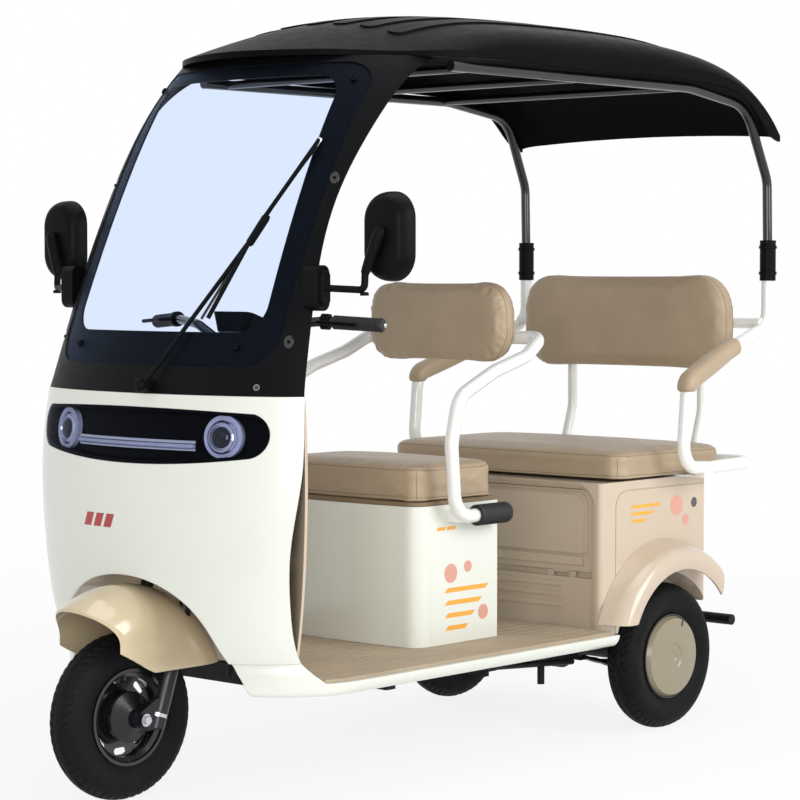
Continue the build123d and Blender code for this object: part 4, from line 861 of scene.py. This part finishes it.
# --- Mirrors ------------------------------------
mirror_width, mirror_height = 0.126, 0.192
shell_meshes, arm_meshes, mirror_glass = [], [], []
for sign in (-1, 1):
    outline = round_rectangle(mirror_width, mirror_height, 0.058, 10)
    base = spot(sign * 528, 314, 1236)
    rings = []
    for k in range(12):
        t = k / 11 * math.pi / 2
        squeeze = 0.024 * (1 - math.cos(t))
        rings.append([base + Vector((x * (1 - squeeze / (mirror_width / 2)),
                                     -0.0435 * math.sin(t),
                                     z * (1 - squeeze / (mirror_height / 2)))) for x, z in outline])
    lip = [base + Vector((x * 0.93, 0, z * 0.95)) for x, z in outline]
    well = [base + Vector((x * 0.93, -0.004, z * 0.95)) for x, z in outline]
    shell_meshes.append(rings_to_mesh([well, lip] + rings))
    mirror_glass.append(prism([(x * 0.925, z * 0.945) for x, z in outline], 0.0015,
                              base + Vector((0, -0.0038, 0)), (-1, 0, 0), (0, 0, 1), 0.0005))
    for size, corner, start, end in (((44, 98), 18, 376.4, 418), ((28, 76), 13, 400, 428)):
        arm_meshes.append(prism(
            round_rectangle(size[0] / 1000, size[1] / 1000, corner / 1000),
            (end - start) / 1000, spot(sign * start, 212, 1126), (0, sign, 0), (0, 0, 1), 0.003))
    foot, elbow = spot(sign * 424, 212, 1126), spot(sign * 502, 250, 1122)
    knuckle = spot(sign * 536, 262, 1245)
    arm_meshes.append(tube(rounded([foot, elbow, elbow + Vector((0, 0.003, 0.05))], [0.012]),
                           0.0078, 14))
    sleeve = elbow + Vector((0, 0.002, 0.036))
    reach = knuckle - sleeve
    arm_meshes.append(turned(
        [(-0.004, 0.0), (-0.004, 0.007), (0.0, 0.0095), (0.02, 0.0115),
         (reach.length - 0.012, 0.0135), (reach.length + 0.002, 0.0128),
         (reach.length + 0.010, 0.008), (reach.length + 0.012, 0.0)],
        sleeve, reach, 28))
    arm_meshes.append(turned([(0, 0.0), (0, 0.0095), (0.006, 0.0095), (0.008, 0.006),
                              (0.008, 0.0)], elbow - Vector((0, 0, 0.012)), (0, 0, 1), 24))
mirror_heads = piece("mirror_shells", smooth(joined(shell_meshes), 50), matt_black, "chassis")
mirror_arms = piece("mirror_arms", joined(arm_meshes), matt_black, "chassis")
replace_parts(mirror_heads, "mirrors")
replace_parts(mirror_arms, "mirrors")
piece("mirror_glass", joined(mirror_glass), chrome, "chassis")


# --- Small fittings -----------------------------
view_way = Vector((-0.67062, 0.74009, -0.05025))


def set_on(node, target, along=view_way):
    """Point and normal on a CAD surface, met on the way to a target."""
    return hit(node, Vector(target) - Vector(along) * 0.5, along)


def set_on_both_sides(node, target):
    """Point and normal at a target's mirror image and at the target."""
    return [set_on(node, Vector((target.x * sign, target.y, target.z)),
                   Vector((view_way.x * sign, view_way.y, view_way.z))) for sign in (-1, 1)]


caps, cap_screws = [], []
for target in (spot(358, 310, 1365), spot(365, 160, 1011)):
    for point, normal in set_on_both_sides("front_frame", target):
        side_way = normal.cross(Vector((0, 0, 1))).normalized()
        up_way = side_way.cross(normal).normalized()
        outline = [(0.0145 * math.cos(t), 0.0105 * math.sin(t))
                   for t in (2 * math.pi * i / 36 for i in range(36))]
        u, v = (side_way, up_way) if side_way.cross(up_way).dot(normal) > 0 else (up_way, side_way)
        caps.append(prism(outline, 0.0016, point - normal * 0.0004, u, v, 0.0007))
        cap_screws.append(screw(point + normal * 0.0011, normal, 0.0038))
for target in (spot(309, 423, 1590), spot(253, 108, 999)):
    for point, normal in set_on_both_sides("windshield", target):
        cap_screws.append(screw(point, normal, 0.0085))
piece("pillar_caps", joined(caps), gloss_black, "chassis")
piece("pillar_screws", joined(cap_screws), matt_black, "chassis")

# Wiper: a pivot cover, a rubber blade, a joint between the CAD node's sprung arm and the blade, and
# a steel end.
def over_glass(x, z, height):
    """Point a given height over the front of the cab."""
    start = spot(x, before_cab, z)
    point, _, _, _ = surface("windshield").ray_cast(start, Vector((0, 1, 0)))
    if point is None:
        point, _, _, _ = surface("front_frame").ray_cast(start, Vector((0, 1, 0)))
    return point - Vector((0, height, 0))


blade_line = [over_glass(150 + 156 * t, 1058 + 392 * t, 0.0035) for t in
              (i / 24 for i in range(25))]
piece("wiper_rubber", joined([tube(blade_line, 0.0032, 8)]), grip_rubber, "chassis")
cap_place = Vector((spot(50, 0, 0).x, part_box("wiper")[0][1], 0.914))
joint_point = over_glass(236, 1252, 0.012)
joint_way = (over_glass(250, 1290, 0.012) - over_glass(222, 1214, 0.012)).normalized()
joint_meshes = [
    turned([(-0.040, 0.0), (-0.040, 0.006), (-0.034, 0.009), (0.030, 0.0095), (0.038, 0.007),
            (0.040, 0.0)], joint_point, joint_way, 20),
    turned([(0.0, 0.0), (0.0, 0.015), (0.006, 0.015), (0.010, 0.011), (0.011, 0.0)],
           cap_place + Vector((0, 0.004, 0)), (0, -1, 0), 28),
]
piece("wiper_joint", joined(joint_meshes), matt_black, "chassis")
piece("wiper_ends", joined([
    turned([(0, 0.0), (0, 0.0062), (0.016, 0.0068), (0.020, 0.005), (0.021, 0.0)],
           over_glass(300, 1436, 0.007), joint_way, 18),
]), steel, "chassis")

# Meter: a dark window with plain marks on the sloping face between the bars.
meter_point, meter_normal = hit("bar_controls", spot(0, 372, 1300), (0, 0, -1))
meter_u = Vector((1, 0, 0))
meter_v = meter_normal.cross(meter_u).normalized()
window = prism(round_rectangle(0.104, 0.050, 0.010), 0.0008, meter_point, meter_u, meter_v, 0.0003)
piece("meter_window", window, gloss_black, "steering")
marks = [prism(circle(0.0028, 16), 0.0004, meter_point + meter_u * x + meter_normal * 0.0008,
               meter_u, meter_v) for x in (-0.040, -0.032, 0.032, 0.040)]
marks += [prism(round_rectangle(0.030, 0.0035, 0.0015), 0.0004,
                meter_point + meter_v * y + meter_normal * 0.0008, meter_u, meter_v)
          for y in (-0.010, 0.0, 0.010)]
piece("meter_marks", joined(marks), lamp_glow, "steering")

# Bar-end screws.
bar_screws = []
for sign in (-1, 1):
    inner, outer = bar_grip_ends(sign)
    way = (outer - inner).normalized()
    bar_screws.append(screw(outer + way * 0.0062, way, 0.0062))
piece("bar_end_screws", joined(bar_screws), steel, "steering")

# Lock in the frame, charging port cover and rail bolts.
lock_point, lock_normal = set_on("front_frame", spot(325, 103, 914))
piece("cowl_lock", joined([
    turned([(-0.001, 0.0), (-0.001, 0.0058), (0.0012, 0.0058), (0.0018, 0.005), (0.0018, 0.0)],
           lock_point, lock_normal, 24)]), gloss_black, "chassis")
piece("cowl_lock_ring", joined([
    turned([(0.0, 0.0056), (0.0016, 0.0058), (0.0016, 0.0066), (0.0, 0.0068)],
           lock_point, lock_normal, 32)]), steel, "chassis")
piece("cowl_lock_slot", prism(
    round_rectangle(0.0050, 0.0014, 0.0006), 0.0003, lock_point + lock_normal * 0.0018,
    lock_normal.cross(Vector((0, 0, 1))).normalized() * -1, (0, 0, 1)), gloss_black, "chassis")
port = spot(367.1, 1636, 569)
piece("port_cover", joined([
    turned([(0.0, 0.0), (0.0, 0.0122), (0.0018, 0.0122), (0.0024, 0.0115), (0.0022, 0.0085),
            (0.0015, 0.008), (0.0015, 0.0)], port, (1, 0, 0), 36)]), port_grey, "chassis")
rail_bolts = []
for sign in (-1, 1):
    for y in (1568, 1592):
        head = hit("rear_handrail", spot(sign * 392, y, 500), (0, 0, 1))[0]
        rail_bolts.append(screw(head, (0, 0, -1), 0.006))
    for y in (806, 830):
        head, facing = hit("front_handrail", spot(sign * 272, y, 800), (0, 0, -1))
        rail_bolts.append(screw(head, facing, 0.005))
piece("rail_bolts", joined(rail_bolts), steel, "chassis")

# Front wheel: axle nuts, and a bright ring near both ends of each leg.
nuts = []
for sign in (-1, 1):
    end = spot(sign * 84, 0, 185)
    nuts.append(turned([(-0.0005, 0.0), (-0.0005, 0.014), (0.0015, 0.014), (0.0015, 0.0)], end,
                       (sign, 0, 0), 28))
    nuts.append(turned([(0.0015, 0.0), (0.0015, 0.0105), (0.0085, 0.0105), (0.0095, 0.009),
                        (0.0095, 0.0)], end, (sign, 0, 0), 6))
piece("axle_nuts", joined(nuts), steel, "steering")
rings = []
leg_radius, ring_radius = 0.0192, 0.0205
for sign in (-1, 1):
    low_leg, high_leg = spot(sign * 90, 44, 178), spot(sign * 90, 108, 364)
    way = (high_leg - low_leg).normalized()
    for share in (0.06, 0.94):
        rings.append(turned([(-0.004, leg_radius), (-0.004, ring_radius),
                             (0.004, ring_radius), (0.004, leg_radius)],
                            spot(sign * 70, 43 + 64 * share, 178 + 186 * share), way, 32))
piece("fork_rings", joined(rings), steel, "steering")

# Springs: bolted clamps over each leaf stack.
clamps = []
for sign in (-1, 1):
    for y in (1497, 1533):
        legs = [spot(sign * x, y, z) for x, z in
                ((222, 132), (222, 212), (246, 216), (270, 212), (270, 132))]
        clamps.append(tube(rounded(legs, [0.008, 0.02, 0.008], 4), 0.0045, 10))
        for x in (222, 270):
            clamps.append(turned([(0, 0.0), (0, 0.0085), (0.007, 0.0085), (0.007, 0.0)],
                                 spot(sign * x, y, 129), (0, 0, 1), 6))
piece("spring_clamps", joined(clamps), steel, "chassis")

# Tail lamps: red ribs on the lenses; the dark rim they are set in is not added here.
ribs = []
for sign in (-1, 1):
    for k in range(9):
        x = sign * (260 + k * 9.4)
        ribs.append(tube([spot(x, 1712.2, z) for z in (508, 516, 530, 544, 552)], 0.0022, 8))
piece("tail_lamp_ribs", joined(ribs), lamp_red, "chassis")

# Plain painted stripes and dots.
def slanted(width, height, lean):
    return [(-width / 2 - lean, -height / 2), (width / 2 - lean, -height / 2),
            (width / 2 + lean, height / 2), (-width / 2 + lean, height / 2)]


def moved(outline, x, y):
    return [(px + x, py + y) for px, py in outline]


decal("front_stripes", "front_shell",
      [moved(slanted(0.026, 0.030, 0.006), x, 0.0) for x in (-0.036, 0.0, 0.036)],
      spot(-86, before_cab, 612), (1, 0, 0), (0, 0, 1), (0, 1, 0), label_red, "chassis")
decal("box_dash", "front_seat_box", [moved(slanted(0.030, 0.008, 0.002), x, 0.0)
                                    for x in (-0.018, 0.018)],
      spot(500, 798, 556), (0, 1, 0), (0, 0, 1), (-1, 0, 0), label_orange, "chassis")
decal("box_stripes", "front_seat_box",
      [moved(slanted(0.150 - 0.026 * k, 0.011, 0.006), -0.012 * k, -0.030 * k)
       for k in range(4)],
      spot(500, 872, 408), (0, 1, 0), (0, 0, 1), (-1, 0, 0), label_orange, "chassis")
decal("box_dots", "front_seat_box",
      [moved(circle(r), x, y) for x, y, r in
       ((-0.058, 0.040, 0.023), (0.004, 0.052, 0.014), (0.060, -0.062, 0.018))],
      spot(500, 872, 408), (0, 1, 0), (0, 0, 1), (-1, 0, 0), label_coral, "chassis")
decal("side_stripes", "rear_body",
      [moved(slanted(0.120 - 0.030 * k, 0.008, 0.004), -0.015 * k, -0.018 * k)
       for k in range(3)],
      spot(600, 1430, 574), (0, 1, 0), (0, 0, 1), (-1, 0, 0), label_orange, "chassis")
decal("side_dots", "rear_body",
      [moved(circle(r), x, y) for x, y, r in ((0.0, 0.0, 0.026), (0.040, -0.040, 0.014))],
      spot(600, 1560, 566), (0, 1, 0), (0, 0, 1), (-1, 0, 0), label_coral, "chassis")


# --- Camera, light and floor --------------------
eye = (4.14869, -4.53052, 1.15760)
focal_pixels, image_pixels = 2517.3, 800
right = Vector((0.7411, 0.6714, 0.0)).normalized()
ahead = view_way.normalized()
upward = right.cross(ahead).normalized()
camera_data = bpy.data.cameras.new("camera")
camera_data.lens = focal_pixels / image_pixels * camera_data.sensor_width
camera = bpy.data.objects.new("camera", camera_data)
camera.matrix_world = Matrix((
    (right.x, upward.x, -ahead.x, eye[0]),
    (right.y, upward.y, -ahead.y, eye[1]),
    (right.z, upward.z, -ahead.z, eye[2]),
    (0, 0, 0, 1),
))
scene.collection.objects.link(camera)
scene.camera = camera


def lamp(name, place, target, size, power):
    data = bpy.data.lights.new(name, "AREA")
    data.shape = "RECTANGLE"
    data.size, data.size_y = size
    data.energy = power
    obj = bpy.data.objects.new(name, data)
    obj.location = place
    obj.rotation_euler = (Vector(target) - Vector(place)).to_track_quat("-Z", "Y").to_euler()
    scene.collection.objects.link(obj)


lamp("key", (4.4, 1.0, 2.4), (0, 0, 0.8), (2.6, 2.4), 118)
lamp("front", (3.3, -4.1, 1.5), (0, 0, 0.7), (2.4, 2.0), 92)
lamp("fill", (0.6, -5.2, 2.2), (0, -0.3, 0.8), (2.4, 2.2), 6)
lamp("top", (0.3, 0.2, 4.6), (0, 0, 0.8), (3.4, 3.4), 56)


def seen_directly(tree):
    """One where the camera, a mirror or clear glass looks straight at the surface."""
    path = add_node(tree, "ShaderNodeLightPath")
    total = add_node(tree, "ShaderNodeMath", operation="MAXIMUM")
    both = add_node(tree, "ShaderNodeMath", operation="MAXIMUM")
    tree.links.new(path.outputs["Is Glossy Ray"], both.inputs[0])
    tree.links.new(path.outputs["Is Transmission Ray"], both.inputs[1])
    tree.links.new(path.outputs["Is Camera Ray"], total.inputs[0])
    tree.links.new(both.outputs[0], total.inputs[1])
    return total.outputs[0]


room_light, floor_tone, floor_glow = 0.54, 0.86, 0.86
world = bpy.data.worlds.new("studio")
scene.world = world
world.use_nodes = True
sky = world.node_tree
room = sky.nodes["Background"]
room.inputs["Color"].default_value = (1, 1, 1, 1)
strength = add_node(sky, "ShaderNodeMapRange", {"To Min": room_light, "To Max": 1.0})
sky.links.new(seen_directly(sky), strength.inputs["Value"])
sky.links.new(strength.outputs["Result"], room.inputs["Strength"])

floor_finish = bpy.data.materials.new("studio_floor")
floor_finish.use_nodes = True
ground = floor_finish.node_tree
paint = ground.nodes["Principled BSDF"]
paint.inputs["Base Color"].default_value = (floor_tone, floor_tone, floor_tone, 1)
paint.inputs["Roughness"].default_value = 0.9
paint.inputs["Specular IOR Level"].default_value = 0.1
glow = add_node(ground, "ShaderNodeEmission", {"Color": (1, 1, 1, 1)})
blend = add_node(ground, "ShaderNodeMixShader")
far = add_node(ground, "ShaderNodeVectorMath", operation="LENGTH")
ground.links.new(add_node(ground, "ShaderNodeTexCoord").outputs["Object"], far.inputs[0])
fade = add_node(ground, "ShaderNodeMapRange",
                {"From Min": 1.4, "From Max": 5.0, "To Min": floor_glow, "To Max": 1.0})
ground.links.new(far.outputs["Value"], fade.inputs["Value"])
share = add_node(ground, "ShaderNodeMath", operation="MULTIPLY")
ground.links.new(seen_directly(ground), share.inputs[0])
ground.links.new(fade.outputs["Result"], share.inputs[1])
ground.links.new(share.outputs[0], blend.inputs["Fac"])
ground.links.new(paint.outputs["BSDF"], blend.inputs[1])
ground.links.new(glow.outputs["Emission"], blend.inputs[2])
ground.links.new(blend.outputs["Shader"], ground.nodes["Material Output"].inputs["Surface"])
floor_mesh = mesh_from([(-14, -14, 0), (14, -14, 0), (14, 14, 0), (-14, 14, 0)], [(0, 1, 2, 3)])
floor_mesh.materials.append(floor_finish)
floor = bpy.data.objects.new("floor", floor_mesh)
scene.collection.objects.link(floor)

scene.view_settings.view_transform = "Standard"
